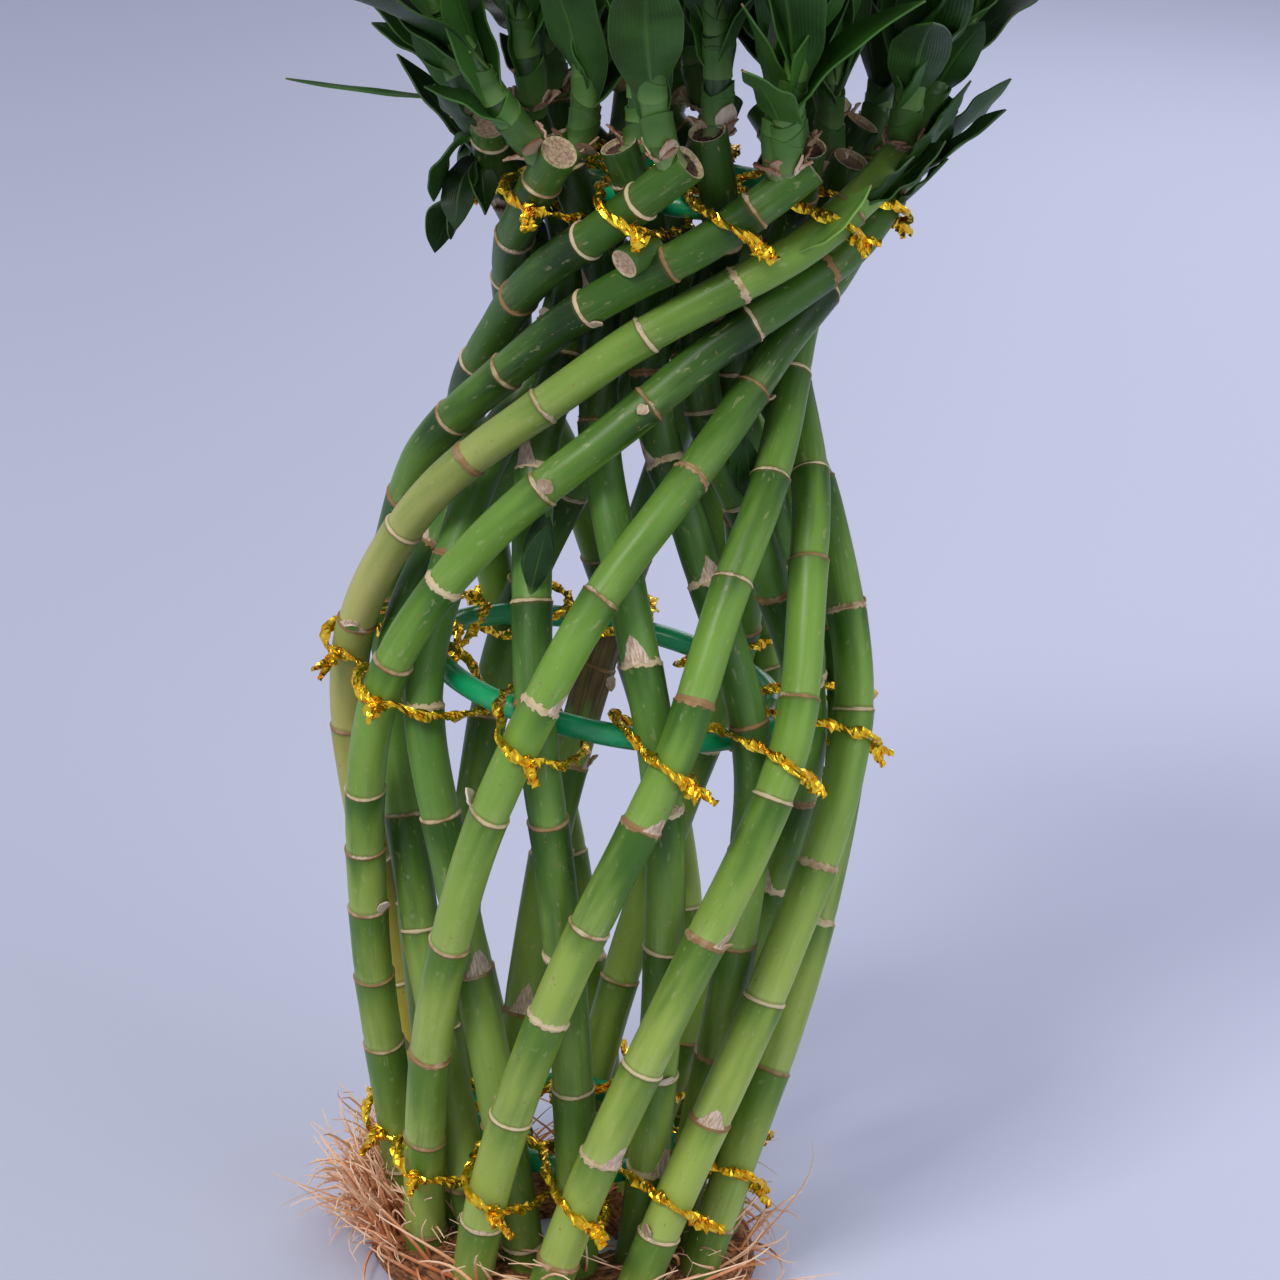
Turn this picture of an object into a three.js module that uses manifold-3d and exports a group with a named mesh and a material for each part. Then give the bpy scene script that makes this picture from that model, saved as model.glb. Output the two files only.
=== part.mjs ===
// Lucky bamboo woven into a vase shape, standing on the cut feet of its stalks.
// Two layers of eleven green stalks wind opposite ways round three wire hoops. A foil tie holds each
// pair of stalks to a hoop where they cross it. Leafy shoots grow from the cut tops, roots from the feet.
// Millimetres, +Z up. The weave is laid out round the middle of its ring of feet, and the whole part is
// moved at the end so that the middle of its bounding box stands over the origin.

import * as THREE from "three";
import { mergeVertices } from "three/addons/utils/BufferGeometryUtils.js";
import Module from "manifold-3d";

const wasm = await Module();
wasm.setup();

// Driving dimensions: the layout of the woven stalks
const STALKS_PER_LAYER = 11;
const PLACE_STEP = 360 / STALKS_PER_LAYER;
const FIRST_PLACE = 14;
const CLEARANCE = 0.3;

// Height of each hoop and its downward tilt to the right in degrees
const HOOPS = [
  { name: "bottom", height: 32, tilt: 4 },
  { name: "middle", height: 146, tilt: 6 },
  { name: "top", height: 260, tilt: 0 },
];
const TOP_HOOP = HOOPS[2];
const HOOP_WIRE = { radius: 2.6, slack: 0.7, sides: 6, steps: 24 };

// The stalks cross at eleven places on a hoop, counted round from the front.
// How far each place strays round its hoop from even spacing, in degrees.
const PLACE_STRAY = {
  bottom: [-9, -10, -11, -11, -8, -5, -1, 2, 3, 0, -5],
  middle: [2, -2, -4, -7, -4, 2, -2, 3, -2, -4, 3],
  top: [-1, 0, 0, 0, 0, 0, 0, 0, 0, 0, 0],
};

// Radius of the outer layer's centre lines by height: belly at the middle hoop, waist below the top one
const OUTER_RADIUS = [
  [0, 36], [32, 42], [90, 53], [146, 58.5], [190, 46.5], [228, 33], [260, 42], [290, 56],
];

// The whole weave drifts to the right near its top
const AXIS_DRIFT = [[0, 0], [110, -2], [200, -3], [228, 0], [246, 4], [256, 6], [290, 5]];

// Places that a layer moves on between hoops, and how the upper move is shared out by height
const OUTER_MOVES = { toMiddle: 1, toTop: 4 };
const INNER_MOVES = { toMiddle: -1, toTop: -2 };
const OUTER_UPPER_SHARE = [[190, 0.17], [225, 0.52]];
const INNER_UPPER_SHARE = [[190, 0.24], [225, 0.64]];

// Below the bottom hoop a stalk turns back by a share of its next move. Above the top hoop it keeps turning.
const FOOT_TURN_SHARE = 0.3;
const END = { rise: 28, turnShare: 0.7 };

// The layers press together at the hoops and stand a little further apart between them
const LAYER_GAP = [
  [0, 11], [28, 10.4], [36, 10.4], [62, 11.2], [115, 11.2], [139, 10.2], [153, 10.2], [180, 11.4],
  [215, 12.3], [240, 12.1], [257, 10.3], [290, 10.3],
];

// Stalks
const STALK_SIDES = { outer: 6, inner: 5 };
const STALK_FOOT_RADIUS = 4.9;
const STALK_TOP_RADIUS = 4.2;
const NODE_LIP = 0.45;
const NODE_STEP = 0.9;
const INTERNODE = { foot: 34, top: 22, spread: 0.25, first: 17 };
const NODE_CLEAR_OF_TIE = { gap: 5, step: 2 };
const BELOW_GROUND = 4;
const CUT_ABOVE_TOP_HOOP = { least: 11, most: 19 };

// Leafy shoots
const SHOOT = {
  sides: 5,
  footRadius: 3,
  stoutShare: 0.2,
  tipRadius: 1.2,
  least: 42,
  most: 60,
  bendShare: 0.35,
  attempts: 8,
};
const SHOOT_ELBOW = 8;

// The whole crown of shoots leans a little to the left
const CROWN_LEAN = 0.2;
const SHOOT_LEAN = { outer: 25, inner: 8, spread: 8 };
const SHOOT_SWING = 20;
const FIRST_SHOOT_BELOW_CUT = { least: 3.5, most: 5.5 };
const SECOND_SHOOT = { every: 3, swing: 35, belowCut: { least: 6, most: 9 } };
const LEAVES_PER_SHOOT = 5;
const LEAF_PLACES = { first: 0.2, last: 0.97 };
const LEAF = {
  least: 40,
  most: 74,
  halfWidthShare: 0.128,
  midribHalf: 0.65,
  fold: 0.24,
  droop: 0.1,
  hug: 0.3,
  attempts: 6,
  shorterEachAttempt: 0.93,
  turnEachAttempt: 23,
};

// Two widths of a leaf as shares of its length and of its usual half width
const LEAF_WIDTHS = [[0.36, 0.95], [0.7, 0.85]];

// Angle of a leaf from its shoot, and how much of it the leaf takes up at its foot and at its tip
const LEAF_SPREAD = { low: 36, high: 10, least: 0.85, most: 1.15, footShare: 0.35, tipShare: 1.3 };
const LEAF_KNEE = { below: 0.45, above: 0.58 };

// The longest leaves grow at the middle of a shoot: half turn of a sine wave that the leaves take up
const LEAF_SIZE_WAVE = { from: 0.25, to: 0.8, least: 0.75 };
const GOLDEN_ANGLE = 137.5;

// Foil ties: how steeply each loop slopes, how far out it passes the inner stalk, its slack on the outer one,
// and how far outside the inner stalk's centre it turns in
const TIE_HALF_WIDTH = 1.3;
const TIE_HALF_THICKNESS = 0.75;
const TIE_FITS = {
  bottom: { slope: 31, pass: 9, slack: 0.9, turnIn: 3 },
  middle: { slope: 29, pass: 9.8, slack: 0.5, turnIn: 3 },
  top: { slope: 28.5, pass: 9, slack: 1.1, turnIn: 2.5 },
};
const TIE_TURN = 50;
const TIE_TAPER = 1.2;
const TIE_BACK_SLACK = 0.3;

// Root mat
const MAT = { inner: 14, outer: 47, top: 6.5, crown: 8.5, shoulder: 3, ridge: 12, sides: 16 };
const ROOTS = {
  count: 22, sides: 3, radius: 1.2, tipShare: 0.5, inset: 3.5, height: 4,
  least: 12, most: 27, rise: 12, swerve: 22,
};
const ROOT_TIP = { least: 1.4, most: 30 };

// Materials
const MATERIALS = {
  outerStalk: { color: 0x6fa03c, roughness: 0.42, metalness: 0 },
  innerStalk: { color: 0x55873a, roughness: 0.45, metalness: 0 },
  yellowStalk: { color: 0xa9ae4a, roughness: 0.45, metalness: 0 },
  hoop: { color: 0x0f9a5c, roughness: 0.35, metalness: 0 },
  tie: { color: 0xd6a51c, roughness: 0.25, metalness: 1 },
  roots: { color: 0xc98a5a, roughness: 0.8, metalness: 0 },
};
const YELLOW_STALK = 7;

// Seeds of the random draws, and the fineness of the stalks' length tables
const SEEDS = { stalks: 11, foliage: 29, roots: 5 };
const LENGTH_STEPS = 300;
const SEAM = 1e-4;

// Small helpers

const radians = THREE.MathUtils.degToRad;
const lerp = THREE.MathUtils.lerp;

// Repeatable random numbers from 0 to 1
function seededRandom(seed) {
  let state = seed;
  return () => {
    state = (Math.imul(state, 1664525) + 1013904223) >>> 0;
    return state / 4294967296;
  };
}

// A smooth line through [position, value] knots
function through(knots, position) {
  const last = knots.length - 1;
  const at = THREE.MathUtils.clamp(position, knots[0][0], knots[last][0]);
  let i = 0;
  while (i < last - 1 && at > knots[i + 1][0]) {
    i += 1;
  }
  const slope = (j) => {
    const before = knots[Math.max(j - 1, 0)];
    const after = knots[Math.min(j + 1, last)];
    return (after[1] - before[1]) / (after[0] - before[0]);
  };
  const [start, startValue] = knots[i];
  const [end, endValue] = knots[i + 1];
  const step = end - start;
  const t = (at - start) / step;
  const hump = t * (1 - t);
  return (
    lerp(startValue, endValue, t * t * (3 - 2 * t)) +
    hump * (1 - t) * step * slope(i) -
    hump * t * step * slope(i + 1)
  );
}

const numbered = (name, index) => `${name}_${String(index + 1).padStart(2, "0")}`;
const outwardAt = (angle) => new THREE.Vector3(Math.sin(radians(angle)), -Math.cos(radians(angle)), 0);
const sidewaysAt = (angle) => new THREE.Vector3(Math.cos(radians(angle)), Math.sin(radians(angle)), 0);
const axisAt = (height) => new THREE.Vector3(through(AXIS_DRIFT, height), 0, height);

// Layout of the weave

function layerRadius(layer, height) {
  const outer = through(OUTER_RADIUS, height);
  if (layer === "outer") {
    return outer;
  }
  const slope = through(OUTER_RADIUS, height + 1) - through(OUTER_RADIUS, height - 1);
  return outer - through(LAYER_GAP, height) * Math.hypot(1, slope / 2);
}

// Angle round the axis of a place on a hoop, places counted on past a full turn
function placeAngle(hoop, place) {
  const index = THREE.MathUtils.euclideanModulo(place, STALKS_PER_LAYER);
  return FIRST_PLACE + PLACE_STEP * place + PLACE_STRAY[hoop.name][index];
}

function hoopRadius(hoop) {
  return layerRadius("inner", hoop.height) - STALK_FOOT_RADIUS - HOOP_WIRE.radius - HOOP_WIRE.slack;
}

// Height of a hoop's wire at an angle round the axis
function hoopHeightAt(hoop, angle) {
  return hoop.height - hoopRadius(hoop) * Math.sin(radians(angle)) * Math.tan(radians(hoop.tilt));
}

// Turn of one stalk round the axis as knots of [height, angle]
function turnKnots(layer, place) {
  const moves = layer === "outer" ? OUTER_MOVES : INNER_MOVES;
  const shares = layer === "outer" ? OUTER_UPPER_SHARE : INNER_UPPER_SHARE;
  const places = [place, place + moves.toMiddle, place + moves.toMiddle + moves.toTop];
  const crossings = HOOPS.map((hoop, i) => {
    const angle = placeAngle(hoop, places[i]);
    return [hoopHeightAt(hoop, angle), angle];
  });
  const [low, mid, top] = crossings;
  const foot = [-BELOW_GROUND, low[1] - (mid[1] - low[1]) * FOOT_TURN_SHARE];
  const upper = shares.map(([height, share]) => [height, lerp(mid[1], top[1], share)]);
  const steepness = (top[1] - upper[1][1]) / (top[0] - upper[1][0]);
  const end = [top[0] + END.rise, top[1] + steepness * END.rise * END.turnShare];
  return [foot, low, mid, ...upper, top, end];
}

// Centre line of one stalk from below the ground to its cut top
class StalkCurve extends THREE.Curve {
  constructor(layer, place, topHeight) {
    super();
    this.layer = layer;
    this.knots = turnKnots(layer, place);
    this.topHeight = topHeight;
    this.arcLengthDivisions = LENGTH_STEPS;
  }

  // Distance along the line from its lower end to a height
  distanceTo(height) {
    const lengths = this.getLengths();
    const step = ((height + BELOW_GROUND) / (this.topHeight + BELOW_GROUND)) * (lengths.length - 1);
    const below = Math.floor(step);
    return lerp(lengths[below], lengths[below + 1], step - below);
  }

  // Distances along the line of the crossings where it is tied to the hoops
  tiedDistances() {
    const crossings = [this.knots[1], this.knots[2], this.knots[this.knots.length - 2]];
    return crossings.map(([height]) => this.distanceTo(height));
  }

  getPoint(t, target = new THREE.Vector3()) {
    const height = lerp(-BELOW_GROUND, this.topHeight, t);
    const angle = through(this.knots, height);
    const radius = layerRadius(this.layer, height);
    return target.copy(axisAt(height)).addScaledVector(outwardAt(angle), radius);
  }
}

// Solids

// Closed solid from a geometry whose seams are merged
function solidFrom(geometry) {
  const bare = geometry.clone();
  bare.deleteAttribute("normal");
  bare.deleteAttribute("uv");
  const merged = mergeVertices(bare, SEAM);
  const corners = merged.index.array;
  const triangles = [];
  for (let i = 0; i < corners.length; i += 3) {
    const [a, b, c] = [corners[i], corners[i + 1], corners[i + 2]];
    if (a !== b && b !== c && c !== a) {
      triangles.push(a, b, c);
    }
  }
  const mesh = new wasm.Mesh({
    numProp: 3,
    vertProperties: new Float32Array(merged.attributes.position.array),
    triVerts: new Uint32Array(triangles),
  });
  return new wasm.Manifold(mesh);
}

function geometryFrom(solid) {
  const mesh = solid.getMesh();
  const geometry = new THREE.BufferGeometry();
  geometry.setAttribute("position", new THREE.BufferAttribute(new Float32Array(mesh.vertProperties), 3));
  geometry.setIndex(new THREE.BufferAttribute(new Uint32Array(mesh.triVerts), 1));
  geometry.computeVertexNormals();
  return geometry;
}

// Carry a geometry that stands along +Y onto a curve, one unit of Y to one unit of arc.
// Its +Z side follows the direction that face gives at each point of the curve.
function bendOnto(geometry, curve, length, face) {
  const position = geometry.attributes.position;
  const vertex = new THREE.Vector3();
  for (let i = 0; i < position.count; i += 1) {
    vertex.fromBufferAttribute(position, i);
    const u = THREE.MathUtils.clamp(vertex.y / length, 0, 1);
    const point = curve.getPointAt(u);
    const tangent = curve.getTangentAt(u);
    const front = face(point).addScaledVector(tangent, -face(point).dot(tangent)).normalize();
    const side = tangent.clone().cross(front);
    point.addScaledVector(side, vertex.x).addScaledVector(front, vertex.z);
    position.setXYZ(i, point.x, point.y, point.z);
  }
  return geometry;
}

// Round limb along a curve: profile points are [distance along it, radius]
function limb(profile, sides, curve, length, face) {
  const points = profile.map(([along, radius]) => new THREE.Vector2(radius, along));
  points.unshift(new THREE.Vector2(0, profile[0][0]));
  points.push(new THREE.Vector2(0, profile[profile.length - 1][0]));
  return bendOnto(new THREE.LatheGeometry(points, sides), curve, length, face);
}

// Thin blade along a curve with a midrib and raised edges: profile points are [distance along, half width]
function blade(profile, midribHalf, fold, curve, length, face) {
  const points = profile.map(([along, half]) => new THREE.Vector2(half, along));
  const geometry = new THREE.LatheGeometry(points, 4);
  const position = geometry.attributes.position;
  for (let i = 0; i < position.count; i += 1) {
    const x = position.getX(i);
    const z = position.getZ(i);
    const half = Math.hypot(x, z);
    const share = half > 0 ? z / half : 0;
    position.setZ(i, share * Math.min(midribHalf, half) + Math.abs(x) * fold);
  }
  return bendOnto(geometry, curve, length, face);
}

// Closed ring through closed stations, with a four-cornered section given as two half sizes
function closedRing(stations, halfThickness, halfWidth) {
  const corners = [[1, 1], [-1, 1], [-1, -1], [1, -1]];
  const count = stations.length;
  const geometry = new THREE.TorusGeometry(2, 1, corners.length, count);
  const position = geometry.attributes.position;
  for (let i = 0; i < position.count; i += 1) {
    const station = stations[(i % (count + 1)) % count];
    const [out, over] = corners[Math.floor(i / (count + 1)) % corners.length];
    const point = station.centre.clone();
    point.addScaledVector(station.outward, out * halfThickness);
    point.addScaledVector(station.across, over * halfWidth);
    position.setXYZ(i, point.x, point.y, point.z);
  }
  return geometry;
}

// Stalks

function stalkRadiusAt(height) {
  return lerp(STALK_FOOT_RADIUS, STALK_TOP_RADIUS, THREE.MathUtils.clamp(height / TOP_HOOP.height, 0, 1));
}

const awayFromAxis = (point) => point.clone().setZ(0);

// Distances along a stalk of its nodes, kept clear of the ties
function nodeDistances(curve, length, random) {
  const tied = curve.tiedDistances();
  const nodes = [];
  let along = lerp(INTERNODE.first, INTERNODE.foot, random());
  while (along < length - NODE_CLEAR_OF_TIE.gap) {
    if (tied.some((tie) => Math.abs(along - tie) < NODE_CLEAR_OF_TIE.gap)) {
      along += NODE_CLEAR_OF_TIE.step;
    } else {
      nodes.push(along);
      const usual = lerp(INTERNODE.foot, INTERNODE.top, along / length);
      along += usual * (1 + INTERNODE.spread * (2 * random() - 1));
    }
  }
  return nodes;
}

// Stalk with a lip at each node, cut off level at the ground
function stalkSolid(layer, curve, length, random) {
  const radiusAt = (along) => stalkRadiusAt(curve.getPointAt(along / length).z);
  const plain = [0, ...curve.tiedDistances(), length].map((along) => [along, radiusAt(along)]);
  const lips = nodeDistances(curve, length, random).flatMap((along) => [
    [along, radiusAt(along) + NODE_LIP],
    [along + NODE_STEP, radiusAt(along)],
  ]);
  const profile = [...plain, ...lips].sort((one, other) => one[0] - other[0]);
  const stalk = limb(profile, STALK_SIDES[layer], curve, length, awayFromAxis);
  return solidFrom(stalk).trimByPlane([0, 0, 1], 0);
}

// Leafy shoots

// Unit direction at an angle from an axis, turned round it by an azimuth
function directionFrom(axis, tilt, azimuth) {
  const side = new THREE.Vector3(0, -1, 0).addScaledVector(axis, axis.y).normalize();
  side.applyAxisAngle(axis, radians(azimuth));
  return side.multiplyScalar(Math.sin(radians(tilt))).addScaledVector(axis, Math.cos(radians(tilt)));
}

// Centre line of a shoot that leaves the stalk's upper side and soon turns to its own lean
function shootCurve(stalk, along, lean, swing, length) {
  const u = along / stalk.length;
  const root = stalk.curve.getPointAt(u);
  const tangent = stalk.curve.getTangentAt(u);
  const angle = THREE.MathUtils.radToDeg(Math.atan2(root.x - axisAt(root.z).x, -root.y)) + swing;
  const direction = outwardAt(angle).multiplyScalar(Math.sin(radians(lean)));
  direction.z = Math.cos(radians(lean));
  direction.x -= CROWN_LEAN;
  direction.normalize();
  const side = direction.clone().addScaledVector(tangent, -direction.dot(tangent)).normalize();
  const elbow = root.clone().addScaledVector(side, SHOOT_ELBOW);
  const bend = elbow.clone().addScaledVector(direction, length * SHOOT.bendShare);
  const tip = elbow.clone().addScaledVector(direction, length);
  return new THREE.CubicBezierCurve3(root, elbow, bend, tip);
}

function shootSolid(curve, grow) {
  const length = curve.getLength();
  const foot = SHOOT.footRadius + grow;
  const profile = [[0, foot], [length * SHOOT.stoutShare, foot], [length, SHOOT.tipRadius + grow]];
  return solidFrom(limb(profile, SHOOT.sides, curve, length, () => new THREE.Vector3(0, -1, 0)));
}

// Centre line of a leaf that first hugs the shoot, then arches away and droops a little
function leafCurve(shoot, u, azimuth, size, spread) {
  const root = shoot.getPointAt(u);
  const axis = shoot.getTangentAt(u);
  const rising = directionFrom(axis, spread * LEAF_SPREAD.footShare, azimuth);
  const arching = directionFrom(axis, spread * LEAF_SPREAD.tipShare, azimuth);
  const knee = root.clone().addScaledVector(rising, size * LEAF_KNEE.below);
  const tip = knee.clone().addScaledVector(arching, size * LEAF_KNEE.above);
  tip.z -= size * LEAF.droop * (spread / LEAF_SPREAD.low);
  return new THREE.QuadraticBezierCurve3(root, knee, tip);
}

// The blade of a leaf from a share of its length to its tip, grown all round for tests
function leafSolid(curve, axis, from, grow) {
  const length = curve.getLength();
  const half = length * LEAF.halfWidthShare;
  const widths = LEAF_WIDTHS.map(([along, share]) => [length * along, half * share + grow]);
  const profile = [[length * from, 0], ...widths, [length, 0]];
  const face = () => axis.clone();
  return solidFrom(blade(profile, LEAF.midribHalf + grow, LEAF.fold, curve, length, face));
}

function boxOf(solid) {
  const { min, max } = solid.boundingBox();
  return new THREE.Box3(new THREE.Vector3(...min), new THREE.Vector3(...max));
}

// Everything placed so far, so that leaves can be kept clear of other pieces
class Crowd {
  constructor() {
    this.members = [];
  }

  add(owner, solid) {
    this.members.push({ owner, solid, box: boxOf(solid) });
  }

  // Whether a solid is clear of all pieces but its own, or with no owner of every piece
  isClear(solid, owner = null) {
    const box = boxOf(solid);
    const near = this.members.filter((member) => member.owner !== owner && member.box.intersectsBox(box));
    return near.every((member) => member.solid.intersect(solid).isEmpty());
  }
}

// The biggest body of a solid, without scraps or sealed hollows
function biggestBody(solid) {
  const bodies = solid.decompose();
  return bodies.reduce((best, body) => (body.volume() > best.volume() ? body : best));
}

const fuse = (solids) => biggestBody(solids.slice(1).reduce((whole, solid) => whole.add(solid), solids[0]));

function plantStalks(random, crowd) {
  const stalks = [];
  for (const layer of ["outer", "inner"]) {
    for (let place = 0; place < STALKS_PER_LAYER; place += 1) {
      const above = lerp(CUT_ABOVE_TOP_HOOP.least, CUT_ABOVE_TOP_HOOP.most, random());
      const curve = new StalkCurve(layer, place, TOP_HOOP.height + above);
      const length = curve.getLength();
      const name = numbered(`${layer}_stalk`, place);
      const body = stalkSolid(layer, curve, length, random);
      stalks.push({ name, layer, place, curve, length, solids: [body], shoots: [] });
      crowd.add(name, body);
    }
  }
  return stalks;
}

// Grow one shoot from a stalk, trying a few leans until it stands clear of the other pieces
function growShoot(stalk, along, swing, random, crowd) {
  for (let attempt = 0; attempt < SHOOT.attempts; attempt += 1) {
    const lean = SHOOT_LEAN[stalk.layer] + SHOOT_LEAN.spread * (2 * random() - 1);
    const length = lerp(SHOOT.least, SHOOT.most, random());
    const curve = shootCurve(stalk, along, lean, swing + SHOOT_SWING * (2 * random() - 1), length);
    if (crowd.isClear(shootSolid(curve, CLEARANCE), stalk.name)) {
      const solid = shootSolid(curve, 0);
      stalk.solids.push(solid);
      stalk.shoots.push({ curve, start: 360 * random() });
      crowd.add(stalk.name, solid);
      return;
    }
  }
}

// Grow one leaf of a shoot, turned or shortened until it stands clear of the other pieces
function growLeaf(stalk, shoot, index, random, crowd) {
  const share = index / (LEAVES_PER_SHOOT - 1);
  const u = lerp(LEAF_PLACES.first, LEAF_PLACES.last, share);
  const axis = shoot.curve.getTangentAt(u);
  const wave = Math.sin(Math.PI * lerp(LEAF_SIZE_WAVE.from, LEAF_SIZE_WAVE.to, share));
  const usual = lerp(LEAF.least, LEAF.most, wave * lerp(LEAF_SIZE_WAVE.least, 1, random()));
  for (let attempt = 0; attempt < LEAF.attempts; attempt += 1) {
    const turn = attempt * LEAF.turnEachAttempt * (2 * random() - 1);
    const azimuth = shoot.start + GOLDEN_ANGLE * index + turn;
    const usualSpread = lerp(LEAF_SPREAD.low, LEAF_SPREAD.high, share);
    const spread = usualSpread * lerp(LEAF_SPREAD.least, LEAF_SPREAD.most, random());
    const curve = leafCurve(shoot.curve, u, azimuth, usual * LEAF.shorterEachAttempt ** attempt, spread);
    const clearOfOthers = crowd.isClear(leafSolid(curve, axis, 0, CLEARANCE), stalk.name);
    if (clearOfOthers && crowd.isClear(leafSolid(curve, axis, LEAF.hug, CLEARANCE))) {
      const solid = leafSolid(curve, axis, 0, 0);
      stalk.solids.push(solid);
      crowd.add(stalk.name, solid);
      return;
    }
  }
}

function growFoliage(stalks, random, crowd) {
  for (const stalk of stalks) {
    const belowCut = lerp(FIRST_SHOOT_BELOW_CUT.least, FIRST_SHOOT_BELOW_CUT.most, random());
    growShoot(stalk, stalk.length - belowCut, 0, random, crowd);
  }
  const forked = stalks.filter((stalk) => stalk.layer === "outer" && stalk.place % SECOND_SHOOT.every === 0);
  for (const stalk of forked) {
    const belowCut = lerp(SECOND_SHOOT.belowCut.least, SECOND_SHOOT.belowCut.most, random());
    growShoot(stalk, stalk.length - belowCut, SECOND_SHOOT.swing, random, crowd);
  }
  for (let index = LEAVES_PER_SHOOT - 1; index >= 0; index -= 1) {
    for (const stalk of stalks) {
      for (const shoot of stalk.shoots) {
        growLeaf(stalk, shoot, index, random, crowd);
      }
    }
  }
}

// Foil ties

// Loop of a tie: over the outer stalk in front, past both sides, and behind the hoop's wire
function tieStations(hoop, angle) {
  const height = hoopHeightAt(hoop, angle);
  const centre = axisAt(height);
  const outward = outwardAt(angle);
  const fit = TIE_FITS[hoop.name];
  const slope = radians(fit.slope + hoop.tilt * Math.cos(radians(angle)));
  const along = sidewaysAt(angle).multiplyScalar(Math.cos(slope)).setZ(-Math.sin(slope));
  const across = outward.clone().cross(along);
  const outer = layerRadius("outer", height);
  const inner = layerRadius("inner", height);
  const wrap = (stalkRadiusAt(height) + fit.slack + TIE_HALF_THICKNESS) / Math.cos(radians(TIE_TURN / 2));
  const back = hoopRadius(hoop) - HOOP_WIRE.radius - CLEARANCE - TIE_HALF_THICKNESS - TIE_BACK_SLACK;
  const front = [-2, -1, 0, 1, 2].map((step) => [
    wrap * Math.sin(radians(step * TIE_TURN)),
    outer + wrap * Math.cos(radians(step * TIE_TURN)),
  ]);
  const side = [fit.pass, inner + fit.turnIn];
  const corner = [fit.pass - TIE_TAPER, back];
  const outline = [...front, side, corner, [-corner[0], corner[1]], [-side[0], side[1]]];
  const point = ([a, b]) => centre.clone().addScaledVector(along, a).addScaledVector(outward, b);
  return outline.map((here, i) => {
    const before = point(outline[(i + outline.length - 1) % outline.length]);
    const after = point(outline[(i + 1) % outline.length]);
    const direction = after.sub(before).normalize();
    return { centre: point(here), outward: across.clone().cross(direction).negate(), across: across.clone() };
  });
}

const tieSolid = (hoop, place) =>
  solidFrom(closedRing(tieStations(hoop, placeAngle(hoop, place)), TIE_HALF_THICKNESS, TIE_HALF_WIDTH));

// Roots

// Low ring of tangled roots in which the stalks stand, each in a plain hole
function matCore(stalks) {
  const { inner, outer, top, crown, shoulder, ridge, sides } = MAT;
  const outside = [[outer, 0], [outer - shoulder, top], [outer - ridge, crown]];
  const profile = [[inner, 0], ...outside, [inner + shoulder, top], [inner, 0]];
  const points = profile.map(([radius, height]) => new THREE.Vector2(radius, height));
  const ring = new THREE.LatheGeometry(points, sides).rotateX(Math.PI / 2);
  return stalks.reduce((core, stalk) => core.subtract(sleeve(stalk)), solidFrom(ring));
}

// The foot of a stalk grown by the clearance
function sleeve(stalk) {
  const radius = STALK_FOOT_RADIUS + NODE_LIP + CLEARANCE;
  const profile = [[0, radius], [INTERNODE.first, radius]];
  return solidFrom(limb(profile, STALK_SIDES[stalk.layer], stalk.curve, stalk.length, awayFromAxis));
}

// A root that springs from the mat and arches outward, to the ground or with its tip in the air
function rootCurve(angle, swerve, reach, rise, tipHeight) {
  const start = MAT.outer - ROOTS.inset;
  const root = outwardAt(angle).multiplyScalar(start).setZ(ROOTS.height);
  const arch = outwardAt(angle).multiplyScalar(start + reach / 2).setZ(ROOTS.height + rise + tipHeight);
  const tip = outwardAt(angle + swerve).multiplyScalar(start + reach).setZ(tipHeight);
  return new THREE.QuadraticBezierCurve3(root, arch, tip);
}

function rootSolid(curve) {
  const length = curve.getLength();
  const { radius, sides, tipShare } = ROOTS;
  const profile = [[0, radius], [length / 2, radius], [length, radius * tipShare]];
  return solidFrom(limb(profile, sides, curve, length, () => new THREE.Vector3(0, 0, 1)));
}

function rootMat(stalks, random) {
  const solids = [matCore(stalks)];
  for (let i = 0; i < ROOTS.count; i += 1) {
    const angle = (360 * (i + random())) / ROOTS.count;
    const swerve = ROOTS.swerve * (2 * random() - 1);
    const reach = lerp(ROOTS.least, ROOTS.most, random());
    const tipHeight = lerp(ROOT_TIP.least, ROOT_TIP.most, random() ** 2);
    solids.push(rootSolid(rootCurve(angle, swerve, reach, ROOTS.rise, tipHeight)));
  }
  return fuse(solids);
}

// Assembly

const part = new THREE.Group();

function addMesh(name, geometry, material) {
  const mesh = new THREE.Mesh(geometry, new THREE.MeshStandardMaterial(material));
  mesh.name = name;
  part.add(mesh);
  return mesh;
}

function hoopGeometry(hoop) {
  const ring = new THREE.TorusGeometry(hoopRadius(hoop), HOOP_WIRE.radius, HOOP_WIRE.sides, HOOP_WIRE.steps);
  ring.rotateY(radians(hoop.tilt));
  return ring;
}

function stalkMaterial(stalk) {
  if (stalk.layer === "inner") {
    return MATERIALS.innerStalk;
  }
  return stalk.place === YELLOW_STALK ? MATERIALS.yellowStalk : MATERIALS.outerStalk;
}

const crowd = new Crowd();
const stalks = plantStalks(seededRandom(SEEDS.stalks), crowd);

for (const hoop of HOOPS) {
  const name = `${hoop.name}_hoop`;
  const mesh = addMesh(name, hoopGeometry(hoop), MATERIALS.hoop);
  mesh.position.copy(axisAt(hoop.height));
  crowd.add(name, solidFrom(mesh.geometry.clone().translate(...mesh.position)));
  for (let place = 0; place < STALKS_PER_LAYER; place += 1) {
    const tieName = numbered(`${hoop.name}_tie`, place);
    const tie = tieSolid(hoop, place);
    crowd.add(tieName, tie);
    addMesh(tieName, geometryFrom(tie), MATERIALS.tie);
  }
}

growFoliage(stalks, seededRandom(SEEDS.foliage), crowd);

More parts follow.
